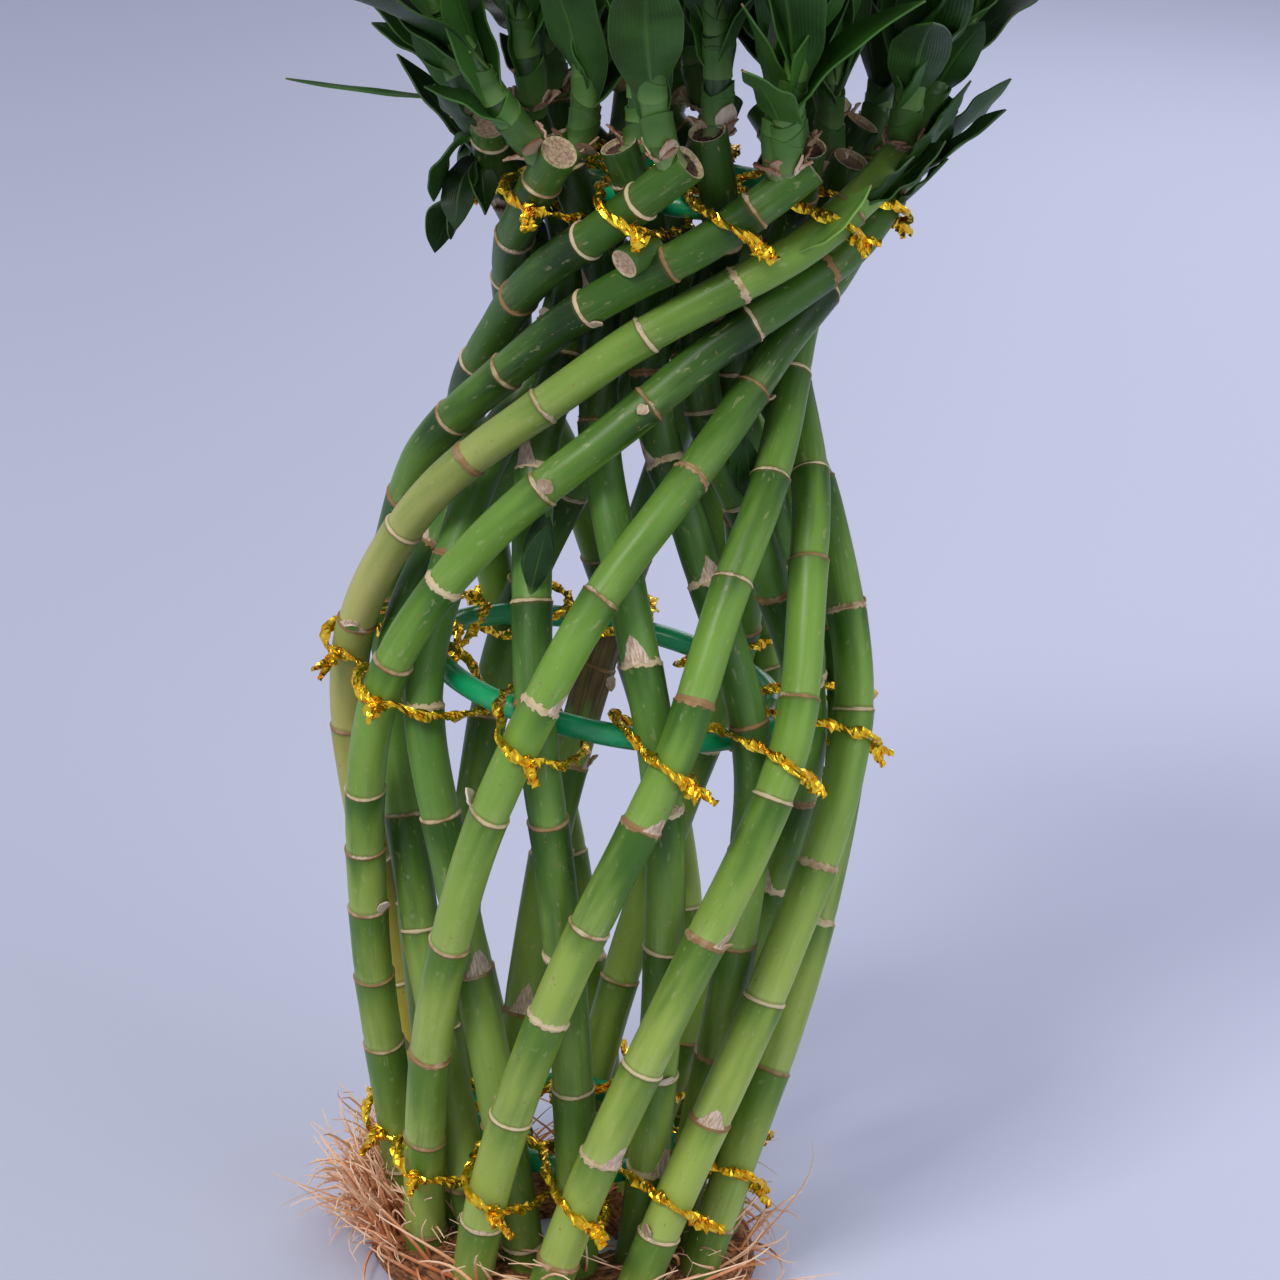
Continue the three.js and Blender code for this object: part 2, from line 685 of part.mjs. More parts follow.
for (const stalk of stalks) {
  addMesh(stalk.name, geometryFrom(fuse(stalk.solids)), stalkMaterial(stalk));
}

addMesh("root_mat", geometryFrom(rootMat(stalks, seededRandom(SEEDS.roots))), MATERIALS.roots);

// Stand the middle of the bounding box over the origin
const box = new THREE.Box3().setFromObject(part);
const middle = box.getCenter(new THREE.Vector3());
part.position.set(-middle.x, -middle.y, -box.min.z);

export default part;
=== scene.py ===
# Looks of a lucky bamboo woven into an open vase shape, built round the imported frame.
# The layout repeats the part's own rules in millimetres, and pieces are placed in metres.

import math

import bpy
import numpy as np
from mathutils import Matrix, Vector


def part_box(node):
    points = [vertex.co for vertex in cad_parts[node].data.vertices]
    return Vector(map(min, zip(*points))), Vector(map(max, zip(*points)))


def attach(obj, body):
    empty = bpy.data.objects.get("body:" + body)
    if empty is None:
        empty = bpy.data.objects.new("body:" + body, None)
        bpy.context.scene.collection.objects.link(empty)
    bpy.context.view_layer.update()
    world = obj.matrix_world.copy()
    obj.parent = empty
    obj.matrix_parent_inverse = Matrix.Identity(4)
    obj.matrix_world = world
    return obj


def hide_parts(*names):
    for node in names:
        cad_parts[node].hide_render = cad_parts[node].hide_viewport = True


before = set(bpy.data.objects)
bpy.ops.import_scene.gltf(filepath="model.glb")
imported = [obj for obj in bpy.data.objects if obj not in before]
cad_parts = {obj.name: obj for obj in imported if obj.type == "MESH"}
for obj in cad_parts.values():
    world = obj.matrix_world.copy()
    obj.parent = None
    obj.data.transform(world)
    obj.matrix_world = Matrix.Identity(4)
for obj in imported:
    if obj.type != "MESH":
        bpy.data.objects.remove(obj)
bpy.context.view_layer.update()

# Layout of the woven stalks, as in the part's source

STALKS_PER_LAYER = 11
PLACE_STEP = 360 / STALKS_PER_LAYER
FIRST_PLACE = 14
CLEARANCE = 0.3

HOOPS = {
    "bottom": {"height": 32, "tilt": 4},
    "middle": {"height": 146, "tilt": 6},
    "top": {"height": 260, "tilt": 0},
}
HOOP_WIRE_RADIUS = 2.6
HOOP_SLACK = 0.7

# Degrees by which each crossing strays from its even place
PLACE_STRAY = {
    "bottom": [-9, -10, -11, -11, -8, -5, -1, 2, 3, 0, -5],
    "middle": [2, -2, -4, -7, -4, 2, -2, 3, -2, -4, 3],
    "top": [-1, 0, 0, 0, 0, 0, 0, 0, 0, 0, 0],
}
# Radius of the outer layer and drift of the middle line, by height
OUTER_RADIUS = [(0, 36), (32, 42), (90, 53), (146, 58.5), (190, 46.5), (228, 33), (260, 42), (290, 56)]
AXIS_DRIFT = [(0, 0), (110, -2), (200, -3), (228, 0), (246, 4), (256, 6), (290, 5)]
# Places that a stalk moves on by from hoop to hoop
MOVES = {"outer": (1, 4), "inner": (-1, -2)}
UPPER_SHARE = {"outer": [(190, 0.17), (225, 0.52)], "inner": [(190, 0.24), (225, 0.64)]}
FOOT_TURN_SHARE = 0.3
END_RISE = 28
END_TURN_SHARE = 0.7
# Distance between the two layers, by height
LAYER_GAP = [
    (0, 11), (28, 10.4), (36, 10.4), (62, 11.2), (115, 11.2), (139, 10.2), (153, 10.2), (180, 11.4),
    (215, 12.3), (240, 12.1), (257, 10.3), (290, 10.3),
]

STALK_FOOT_RADIUS = 4.9
STALK_TOP_RADIUS = 4.2
INTERNODE = {"foot": 34, "top": 22, "spread": 0.25, "first": 17}
CLEAR_OF_TIE = 5
CLEAR_OF_TIE_STEP = 2
BELOW_GROUND = 4
CUT_ABOVE_TOP_HOOP = (11, 19)
YELLOW_STALK = "outer_stalk_08"

SHOOT_FOOT_RADIUS = 3.0
SHOOT_TIP_RADIUS = 1.2
SHOOT_STOUT_SHARE = 0.2
SHOOT_LENGTH = (42, 60)
SHOOT_BEND_SHARE = 0.35
SHOOT_ATTEMPTS = 8
SHOOT_SIDES = 5
SHOOT_ELBOW = 8
CROWN_LEAN = 0.2
SHOOT_LEAN = {"outer": 25, "inner": 8}
SHOOT_LEAN_SPREAD = 8
SHOOT_SWING = 20
FIRST_SHOOT_BELOW_CUT = (3.5, 5.5)
SECOND_SHOOT_BELOW_CUT = (6, 9)
SECOND_SHOOT_EVERY = 3
SECOND_SHOOT_SWING = 35
LEAVES_PER_SHOOT = 5
LEAF_PLACES = (0.2, 0.97)
LEAF_LENGTH = (40, 74)
LEAF_HALF_WIDTH_SHARE = 0.128
LEAF_DROOP = 0.1
LEAF_ATTEMPTS = 6
LEAF_SHORTER = 0.93
LEAF_TURN = 23
LEAF_SPREAD = (36, 10)
LEAF_SPREAD_RANGE = (0.85, 1.15)
LEAF_FOOT_SHARE = 0.35
LEAF_TIP_SHARE = 1.3
LEAF_KNEE = (0.45, 0.58)
LEAF_SIZE_WAVE = (0.25, 0.8)
LEAF_SIZE_LEAST = 0.75
GOLDEN_ANGLE = 137.5

TIE_HALF_THICKNESS = 0.75
TIE_FITS = {
    "bottom": {"slope": 31, "pass": 9, "slack": 0.9, "turn_in": 3},
    "middle": {"slope": 29, "pass": 9.8, "slack": 0.5, "turn_in": 3},
    "top": {"slope": 28.5, "pass": 9, "slack": 1.1, "turn_in": 2.5},
}
TIE_TURN = 50
TIE_TAPER = 1.2
TIE_BACK_SLACK = 0.3

MAT_INNER = 14
MAT_OUTER = 47
MAT_TOP = 6.5
MAT_CROWN = 8.5

SEEDS = {"stalks": 11, "foliage": 29, "first_stalk": 401, "first_tie": 70, "roots": 907}
MATCH = 0.04
MM = 0.001
FRONT = np.array([0.0, -1.0, 0.0])
UPWARDS = np.array([0.0, 0.0, 1.0])
LEVEL = np.array([1.0, 1.0, 0.0])


# Layout rules


class Draw:
    """A stream of seeded random numbers from 0 to 1, the same as in the part's source."""

    def __init__(self, seed):
        self.state = seed

    def __call__(self):
        self.state = (self.state * 1664525 + 1013904223) & 0xFFFFFFFF
        return self.state / 4294967296

    def between(self, low, high):
        return low + (high - low) * self()

    def sway(self):
        return 2 * self() - 1


def lerp(low, high, share):
    return low + (high - low) * share


def through(knots, position):
    """A smooth line through (position, value) knots."""
    last = len(knots) - 1
    at = min(max(position, knots[0][0]), knots[last][0])
    i = 0
    while i < last - 1 and at > knots[i + 1][0]:
        i += 1

    def slope(j):
        before = knots[max(j - 1, 0)]
        after = knots[min(j + 1, last)]
        return (after[1] - before[1]) / (after[0] - before[0])

    start, start_value = knots[i]
    end, end_value = knots[i + 1]
    step = end - start
    t = (at - start) / step
    arch = t * (1 - t)
    value = lerp(start_value, end_value, t * t * (3 - 2 * t))
    return value + arch * (1 - t) * step * slope(i) - arch * t * step * slope(i + 1)


def sine(degrees):
    return math.sin(math.radians(degrees))


def cosine(degrees):
    return math.cos(math.radians(degrees))


def outward_at(angle):
    """Level direction away from the middle line, by degrees from the front."""
    return np.array([sine(angle), -cosine(angle), 0.0])


def sideways_at(angle):
    """Level direction round the middle line."""
    return np.array([cosine(angle), sine(angle), 0.0])


def axis_at(height):
    """Point of the bundle's middle line, which drifts a little to the side."""
    return np.array([through(AXIS_DRIFT, height), 0.0, height])


def angle_of(point):
    """Angle round the middle line, in degrees from the front."""
    return math.degrees(math.atan2(point[0] - axis_at(point[2])[0], -point[1]))


def unit(vector):
    return vector / np.linalg.norm(vector)


def layer_radius(layer, height):
    outer = through(OUTER_RADIUS, height)
    if layer == "outer":
        return outer
    slope = through(OUTER_RADIUS, height + 1) - through(OUTER_RADIUS, height - 1)
    return outer - through(LAYER_GAP, height) * math.hypot(1, slope / 2)


def place_angle(hoop, place):
    return FIRST_PLACE + PLACE_STEP * place + PLACE_STRAY[hoop][place % STALKS_PER_LAYER]


def hoop_radius(hoop):
    return layer_radius("inner", HOOPS[hoop]["height"]) - STALK_FOOT_RADIUS - HOOP_WIRE_RADIUS - HOOP_SLACK


def hoop_height_at(hoop, angle):
    rise = hoop_radius(hoop) * sine(angle) * math.tan(math.radians(HOOPS[hoop]["tilt"]))
    return HOOPS[hoop]["height"] - rise


def turn_knots(layer, place):
    """The (height, angle) knots that one stalk turns through, from below the ground to past its cut."""
    to_middle, to_top = MOVES[layer]
    places = [place, place + to_middle, place + to_middle + to_top]
    low, mid, top = [
        (hoop_height_at(hoop, place_angle(hoop, at)), place_angle(hoop, at))
        for hoop, at in zip(HOOPS, places)
    ]
    foot = (-BELOW_GROUND, low[1] - (mid[1] - low[1]) * FOOT_TURN_SHARE)
    upper = [(height, lerp(mid[1], top[1], share)) for height, share in UPPER_SHARE[layer]]
    steepness = (top[1] - upper[1][1]) / (top[0] - upper[1][0])
    end = (top[0] + END_RISE, top[1] + steepness * END_RISE * END_TURN_SHARE)
    return [foot, low, mid, *upper, top, end]


class Line:
    """A curve in space, walked by its share of arc length."""

    steps = 200
    nudge = 0.0001

    def __init__(self):
        points = np.array([self.point(i / self.steps) for i in range(self.steps + 1)])
        self.lengths = np.concatenate([[0], np.cumsum(np.linalg.norm(np.diff(points, axis=0), axis=1))])
        self.length = self.lengths[-1]

    def share_to_step(self, u):
        steps = np.linspace(0, 1, self.steps + 1)
        return float(np.interp(u * self.length, self.lengths, steps))

    def at(self, u):
        return self.point(self.share_to_step(u))

    def tangent(self, u):
        t = self.share_to_step(u)
        return unit(self.point(min(t + self.nudge, 1)) - self.point(max(t - self.nudge, 0)))


class Bezier(Line):
    """A Bezier curve through three or four control points."""

    def __init__(self, *controls):
        self.controls = [np.array(control, dtype=float) for control in controls]
        super().__init__()

    def point(self, t):
        points = self.controls
        while len(points) > 1:
            points = [a * (1 - t) + b * t for a, b in zip(points, points[1:])]
        return points[0]


class StalkLine(Line):
    """Centre line of one stalk from below the ground to its cut top."""

    steps = 300

    def __init__(self, layer, place, top_height):
        self.layer = layer
        self.knots = turn_knots(layer, place)
        self.top_height = top_height
        super().__init__()

    def point(self, t):
        height = lerp(-BELOW_GROUND, self.top_height, t)
        return axis_at(height) + outward_at(through(self.knots, height)) * layer_radius(self.layer, height)

    def distance_to(self, height):
        step = (height + BELOW_GROUND) / (self.top_height + BELOW_GROUND) * self.steps
        return float(np.interp(step, range(self.steps + 1), self.lengths))

    def tied_distances(self):
        return [self.distance_to(self.knots[i][0]) for i in (1, 2, -2)]


def stalk_radius_at(height):
    return lerp(STALK_FOOT_RADIUS, STALK_TOP_RADIUS, min(max(height / HOOPS["top"]["height"], 0), 1))


def node_distances(line, draw):
    """Distances of the rings along a stalk, clear of its ties."""
    tied = line.tied_distances()
    nodes = []
    along = draw.between(INTERNODE["first"], INTERNODE["foot"])
    while along < line.length - CLEAR_OF_TIE:
        if any(abs(along - tie) < CLEAR_OF_TIE for tie in tied):
            along += CLEAR_OF_TIE_STEP
        else:
            nodes.append(along)
            usual = lerp(INTERNODE["foot"], INTERNODE["top"], along / line.length)
            along += usual * (1 + INTERNODE["spread"] * draw.sway())
    return nodes


def direction_from(axis, tilt, azimuth):
    """Unit direction at an angle from an axis, turned round it by an azimuth."""
    side = unit(FRONT + axis * axis[1])
    side = np.array(Matrix.Rotation(math.radians(azimuth), 3, Vector(axis)) @ Vector(side))
    return side * sine(tilt) + axis * cosine(tilt)


def shoot_line(stalk, along, lean, swing, length):
    u = along / stalk["line"].length
    root = stalk["line"].at(u)
    tangent = stalk["line"].tangent(u)
    direction = outward_at(angle_of(root) + swing) * sine(lean)
    direction[2] = cosine(lean)
    direction[0] -= CROWN_LEAN
    direction = unit(direction)
    side = unit(direction - tangent * direction.dot(tangent))
    elbow = root + side * SHOOT_ELBOW
    return Bezier(root, elbow, elbow + direction * length * SHOOT_BEND_SHARE, elbow + direction * length)


def leaf_line(shoot, u, azimuth, size, spread):
    root = shoot.at(u)
    axis = shoot.tangent(u)
    knee = root + direction_from(axis, spread * LEAF_FOOT_SHARE, azimuth) * size * LEAF_KNEE[0]
    tip = knee + direction_from(axis, spread * LEAF_TIP_SHARE, azimuth) * size * LEAF_KNEE[1]
    tip[2] -= size * LEAF_DROOP * (spread / LEAF_SPREAD[0])
    return Bezier(root, knee, tip)


def stand_frame(line, u, front):
    """Centre, side and front of a limb at a share of its line."""
    tangent = line.tangent(u)
    front = unit(front - tangent * front.dot(tangent))
    return line.at(u), np.cross(tangent, front), front


def stalk_frame(line, u):
    """Centre, side, outward side and direction of a stalk at a share of its line."""
    return (*stand_frame(line, u, line.at(u) * LEVEL), line.tangent(u))


def turned(side, front, turn):
    """Direction round a limb, by the turn from its front."""
    return side * math.sin(turn) + front * math.cos(turn)


# Growth of the bundle, replayed against the frame so that every shoot and leaf is where the part has it

hoop_low, hoop_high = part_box("bottom_hoop")
WEAVE = np.array([
    (hoop_low[0] + hoop_high[0]) / 2 - axis_at(HOOPS["bottom"]["height"])[0] * MM,
    (hoop_low[1] + hoop_high[1]) / 2,
    0,
])


def placed(points):
    """Points of the layout in millimetres as points of the frame in metres."""
    return np.asarray(points) * MM + WEAVE


def frame_corners(name):
    """Corners of a frame node in the layout's millimetres."""
    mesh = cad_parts[name].data
    corners = np.empty(len(mesh.vertices) * 3, dtype=np.float32)
    mesh.vertices.foreach_get("co", corners)
    return (corners.reshape(-1, 3).astype(float) - WEAVE) / MM


def has_corner(corners, point):
    return np.abs(corners - point).max(axis=1).min() < MATCH


def plant_stalks():
    draw = Draw(SEEDS["stalks"])
    stalks = []
    for layer in ("outer", "inner"):
        for place in range(STALKS_PER_LAYER):
            line = StalkLine(layer, place, HOOPS["top"]["height"] + draw.between(*CUT_ABOVE_TOP_HOOP))
            name = f"{layer}_stalk_{place + 1:02d}"
            nodes = node_distances(line, draw)
            stalks.append({
                "name": name, "layer": layer, "place": place, "line": line, "nodes": nodes,
                "corners": frame_corners(name), "shoots": [],
            })
    return stalks


def grow_shoot(stalk, along, swing, draw):
    for _ in range(SHOOT_ATTEMPTS):
        lean = SHOOT_LEAN[stalk["layer"]] + SHOOT_LEAN_SPREAD * draw.sway()
        length = draw.between(*SHOOT_LENGTH)
        line = shoot_line(stalk, along, lean, swing + SHOOT_SWING * draw.sway(), length)
        ring = []
        for share, radius in ((SHOOT_STOUT_SHARE, SHOOT_FOOT_RADIUS), (1, SHOOT_TIP_RADIUS)):
            centre, side, front = stand_frame(line, share, FRONT)
            turns = [2 * math.pi * k / SHOOT_SIDES for k in range(SHOOT_SIDES)]
            ring += [centre + turned(side, front, turn) * radius for turn in turns]
        if any(has_corner(stalk["corners"], corner) for corner in ring):
            stalk["shoots"].append({"line": line, "start": 360 * draw(), "leaves": []})
            return


def grow_leaf(stalk, shoot, index, draw):
    share = index / (LEAVES_PER_SHOOT - 1)
    u = lerp(*LEAF_PLACES, share)
    wave = math.sin(math.pi * lerp(*LEAF_SIZE_WAVE, share))
    usual = lerp(*LEAF_LENGTH, wave * draw.between(LEAF_SIZE_LEAST, 1))
    for attempt in range(LEAF_ATTEMPTS):
        azimuth = shoot["start"] + GOLDEN_ANGLE * index + attempt * LEAF_TURN * draw.sway()
        spread = lerp(*LEAF_SPREAD, share) * draw.between(*LEAF_SPREAD_RANGE)
        line = leaf_line(shoot["line"], u, azimuth, usual * LEAF_SHORTER**attempt, spread)
        if has_corner(stalk["corners"], line.controls[-1]):
            shoot["leaves"].append({"line": line, "u": u, "azimuth": azimuth})
            return


def grow_foliage(stalks):
    draw = Draw(SEEDS["foliage"])
    for stalk in stalks:
        grow_shoot(stalk, stalk["line"].length - draw.between(*FIRST_SHOOT_BELOW_CUT), 0, draw)
    for stalk in stalks:
        if stalk["layer"] == "outer" and stalk["place"] % SECOND_SHOOT_EVERY == 0:
            below = draw.between(*SECOND_SHOOT_BELOW_CUT)
            grow_shoot(stalk, stalk["line"].length - below, SECOND_SHOOT_SWING, draw)
    for index in reversed(range(LEAVES_PER_SHOOT)):
        for stalk in stalks:
            for shoot in stalk["shoots"]:
                grow_leaf(stalk, shoot, index, draw)


stalks = plant_stalks()
grow_foliage(stalks)


# Modelling helpers


def deselect_all():
    if bpy.context.object and bpy.context.object.mode != "OBJECT":
        bpy.ops.object.mode_set(mode="OBJECT")
    bpy.ops.object.select_all(action="DESELECT")


def select_only(*pieces):
    deselect_all()
    for piece in pieces:
        piece.select_set(True)
    bpy.context.view_layer.objects.active = pieces[0]


def cloth_grid(name, columns, rows):
    """A flat grid, with each corner's column and row, to be shaped into a limb or a blade."""
    deselect_all()
    bpy.ops.mesh.primitive_grid_add(x_subdivisions=columns, y_subdivisions=rows, size=1)
    piece = named(name)
    across, along, _ = read_corners(piece).T
    return piece, np.rint((across + 0.5) * columns).astype(int), np.rint((along + 0.5) * rows).astype(int)


def rolled_grid(name, columns, rows):
    """A flat grid with each corner's turn round a limb and its row."""
    piece, column, row = cloth_grid(name, columns, rows)
    return piece, 2 * np.pi * column / columns, row


def read_corners(piece):
    corners = np.empty(len(piece.data.vertices) * 3)
    piece.data.vertices.foreach_get("co", corners)
    return corners.reshape(-1, 3)


def write_corners(piece, corners):
    piece.data.vertices.foreach_set("co", np.asarray(corners, dtype=float).ravel())
    piece.data.update()


def copy_of(kind):
    """Copy of a piece with its own mesh."""
    piece = kind.copy()
    piece.data = kind.data.copy()
    bpy.context.collection.objects.link(piece)
    return piece


def edit_mesh(piece, *steps, picked="SELECT"):
    """Run mesh operators, each with its settings, on all of a piece or with nothing picked."""
    select_only(piece)
    bpy.ops.object.mode_set(mode="EDIT")
    bpy.ops.mesh.select_all(action=picked)
    for operator, settings in steps:
        operator(**settings)
    bpy.ops.object.mode_set(mode="OBJECT")


def merge_doubles(piece, distance=1e-6):
    edit_mesh(piece, (bpy.ops.mesh.remove_doubles, {"threshold": distance}))


def cut_level(piece):
    """Cut a stalk off flat on the ground."""
    ground = {"plane_co": (0, 0, 0), "plane_no": (0, 0, 1), "use_fill": True, "clear_inner": True}
    edit_mesh(piece, (bpy.ops.mesh.bisect, ground))


def close_ends(piece):
    """Fill the open ends of a limb."""
    edit_mesh(
        piece,
        (bpy.ops.mesh.select_mode, {"type": "EDGE"}),
        (bpy.ops.mesh.select_non_manifold, {}),
        (bpy.ops.mesh.fill_holes, {"sides": 0}),
        picked="DESELECT",
    )


def named(name):
    """The active piece, with its name."""
    piece = bpy.context.object
    piece.name = name
    piece.data.name = name
    return piece


def joined(pieces, name):
    """Several pieces made one."""
    select_only(*pieces)
    if len(pieces) > 1:
        bpy.ops.object.join()
    return named(name)


def smooth(piece, angle=60):
    select_only(piece)
    bpy.ops.object.shade_smooth_by_angle(angle=math.radians(angle))


def thicken(piece, thickness):
    """Give blades their thickness, with their underside in the second material slot."""
    select_only(piece)
    wall = piece.modifiers.new("thickness", "SOLIDIFY")
    wall.thickness = thickness
    wall.offset = 0
    wall.material_offset = 1
    bpy.ops.object.modifier_apply(modifier=wall.name)


def set_materials(piece, *materials):
    for material in materials:
        piece.data.materials.append(material)


def stacked(*columns):
    """A vector for each corner, from three values that may each be the same for all corners."""
    return np.stack(np.broadcast_arrays(*columns), axis=1)


def mark(piece, skin=(0, 0, 0), ring=(99, 0, 0), blade=(0, 0, 0.5)):
    """The attributes that the finishes read, each the same all over the piece or given for every corner."""
    count = len(piece.data.vertices)
    for name, value in (("skin", skin), ("ring", ring), ("blade", blade)):
        values = np.broadcast_to(np.asarray(value, dtype=float), (count, 3))
        held = piece.data.attributes
        attribute = held.get(name) or held.new(name, "FLOAT_VECTOR", "POINT")
        attribute.data.foreach_set("vector", values.ravel())


def shaped(piece, corners, *materials, seam=True, closed=False, **marks):
    """Put the corners of a piece in place, give it its marks and materials, and merge its seam."""
    write_corners(piece, placed(corners))
    mark(piece, **marks)
    set_materials(piece, *materials)
    if seam:
        merge_doubles(piece)
    if closed:
        close_ends(piece)
    return piece


class Limb:
    """A line with a side and a front at each step, so that many corners can be placed at once."""

    def __init__(self, line, front, steps=90):
        self.line = line
        self.distances = np.linspace(0, line.length, steps + 1)
        frames = []
        for along in self.distances:
            u = along / line.length
            facing = front(line.at(u)) if callable(front) else front
            frames.append(np.concatenate([*stand_frame(line, u, facing), line.tangent(u)]))
        self.frames = np.array(frames)

    def corners(self, along, beside, ahead, lift=0.0):
        """Points at a distance along the line, moved to its side, to its front and onwards."""
        frame_at = np.array([np.interp(along, self.distances, column) for column in self.frames.T]).T
        centre, side, front, tangent = (frame_at[..., i:i + 3] for i in (0, 3, 6, 9))
        for direction, distance in ((side, beside), (front, ahead), (tangent, lift)):
            centre = centre + direction * np.broadcast_to(distance, along.shape)[..., None]
        return centre

    def around(self, along, radius, turn, lift=0.0):
        """Points at a distance along the line and round it."""
        return self.corners(along, radius * np.sin(turn), radius * np.cos(turn), lift)


# Finishes


def colour(code):
    """Linear colour from a six-digit web code."""
    parts = [int(code[i:i + 2], 16) / 255 for i in (0, 2, 4)]
    linear = [part / 12.92 if part <= 0.04045 else ((part + 0.055) / 1.055) ** 2.4 for part in parts]
    return (*linear, 1)


class Shade:
    """A value, vector or colour inside a finish, with the usual operators for values."""

    def __init__(self, finish, socket):
        self.finish = finish
        self.socket = socket

    def maths(self, operation, *values):
        return self.finish.node("ShaderNodeMath", {"operation": operation}, dict(enumerate((self, *values))))

    def __add__(self, other):
        return self.maths("ADD", other)

    def __sub__(self, other):
        return self.maths("SUBTRACT", other)

    def __rsub__(self, other):
        return self.finish.node("ShaderNodeMath", {"operation": "SUBTRACT"}, {0: other, 1: self})

    def __mul__(self, other):
        return self.maths("MULTIPLY", other)

    __radd__ = __add__
    __rmul__ = __mul__

    def __abs__(self):
        return self.maths("ABSOLUTE")

    def __pow__(self, power):
        return self.maths("POWER", power)

    def sine(self):
        return self.maths("SINE")

    def most(self, other):
        return self.maths("MAXIMUM", other)

    def rising(self, low, high):
        """0 below the low edge, 1 above the high one, and smooth between them."""
        return self.finish.node(
            "ShaderNodeMapRange", {"interpolation_type": "SMOOTHSTEP"}, {0: self, 1: low, 2: high},
        )

    def falling(self, low, high):
        return 1 - self.rising(low, high)

    def stretched(self, *scale):
        """A vector stretched along its three axes."""
        return self.finish.node("ShaderNodeVectorMath", {"operation": "MULTIPLY"}, {0: self, 1: scale})

    def parts(self):
        """The three values of a vector."""
        split = self.finish.node("ShaderNodeSeparateXYZ", {}, {0: self})
        return [Shade(self.finish, socket) for socket in split.socket.node.outputs]


class Finish:
    """A procedural material built round one shader."""

    def __init__(self, name, **settings):
        self.material = bpy.data.materials.new(name)
        self.material.use_nodes = True
        self.tree = self.material.node_tree
        self.shader = self.tree.nodes["Principled BSDF"]
        for socket, value in settings.items():
            self.shader.inputs[socket.replace("_", " ").title().replace("Ior", "IOR")].default_value = value

    def node(self, kind, settings, inputs, output=0):
        """Any node: its settings first, then the values or links of its sockets."""
        node = self.tree.nodes.new(kind)
        for setting, value in settings.items():
            setattr(node, setting, value)
        for socket, value in inputs.items():
            if isinstance(value, Shade):
                self.tree.links.new(value.socket, node.inputs[socket])
            else:
                node.inputs[socket].default_value = colour(value) if isinstance(value, str) else value
        return Shade(self, node.outputs[output])

    def attribute(self, name):
        return self.node("ShaderNodeAttribute", {"attribute_name": name}, {}, "Vector")

    def place(self):
        """Object coordinates in millimetres."""
        return self.node("ShaderNodeTexCoord", {}, {}, "Object").stretched(1000, 1000, 1000)

    def noise(self, where, scale=1.0, detail=2.0):
        return self.node("ShaderNodeTexNoise", {}, {"Vector": where, "Scale": scale, "Detail": detail})

    def cells(self, where, scale=1.0):
        return self.node("ShaderNodeTexVoronoi", {}, {"Vector": where, "Scale": scale})

    def mix(self, mask, low, high):
        """One colour or another, by a mask."""
        return self.node("ShaderNodeMix", {"data_type": "RGBA"}, {0: mask, 6: low, 7: high}, 2)

    def speckled(self, grain, low, high):
        """One colour or another, by the grain of a noise."""
        return self.mix(grain.rising(0.3, 0.7), low, high)

    def bump(self, height, distance, strength=1.0):
        return self.node("ShaderNodeBump", {}, {"Height": height, "Distance": distance, "Strength": strength})

    def paint(self, **sockets):
        """Link what changes over the surface to the shader."""
        names = {"base": "Base Color", "roughness": "Roughness", "normal": "Normal"}
        for socket, value in sockets.items():
            self.tree.links.new(value.socket, self.shader.inputs[names[socket]])
        return self.material


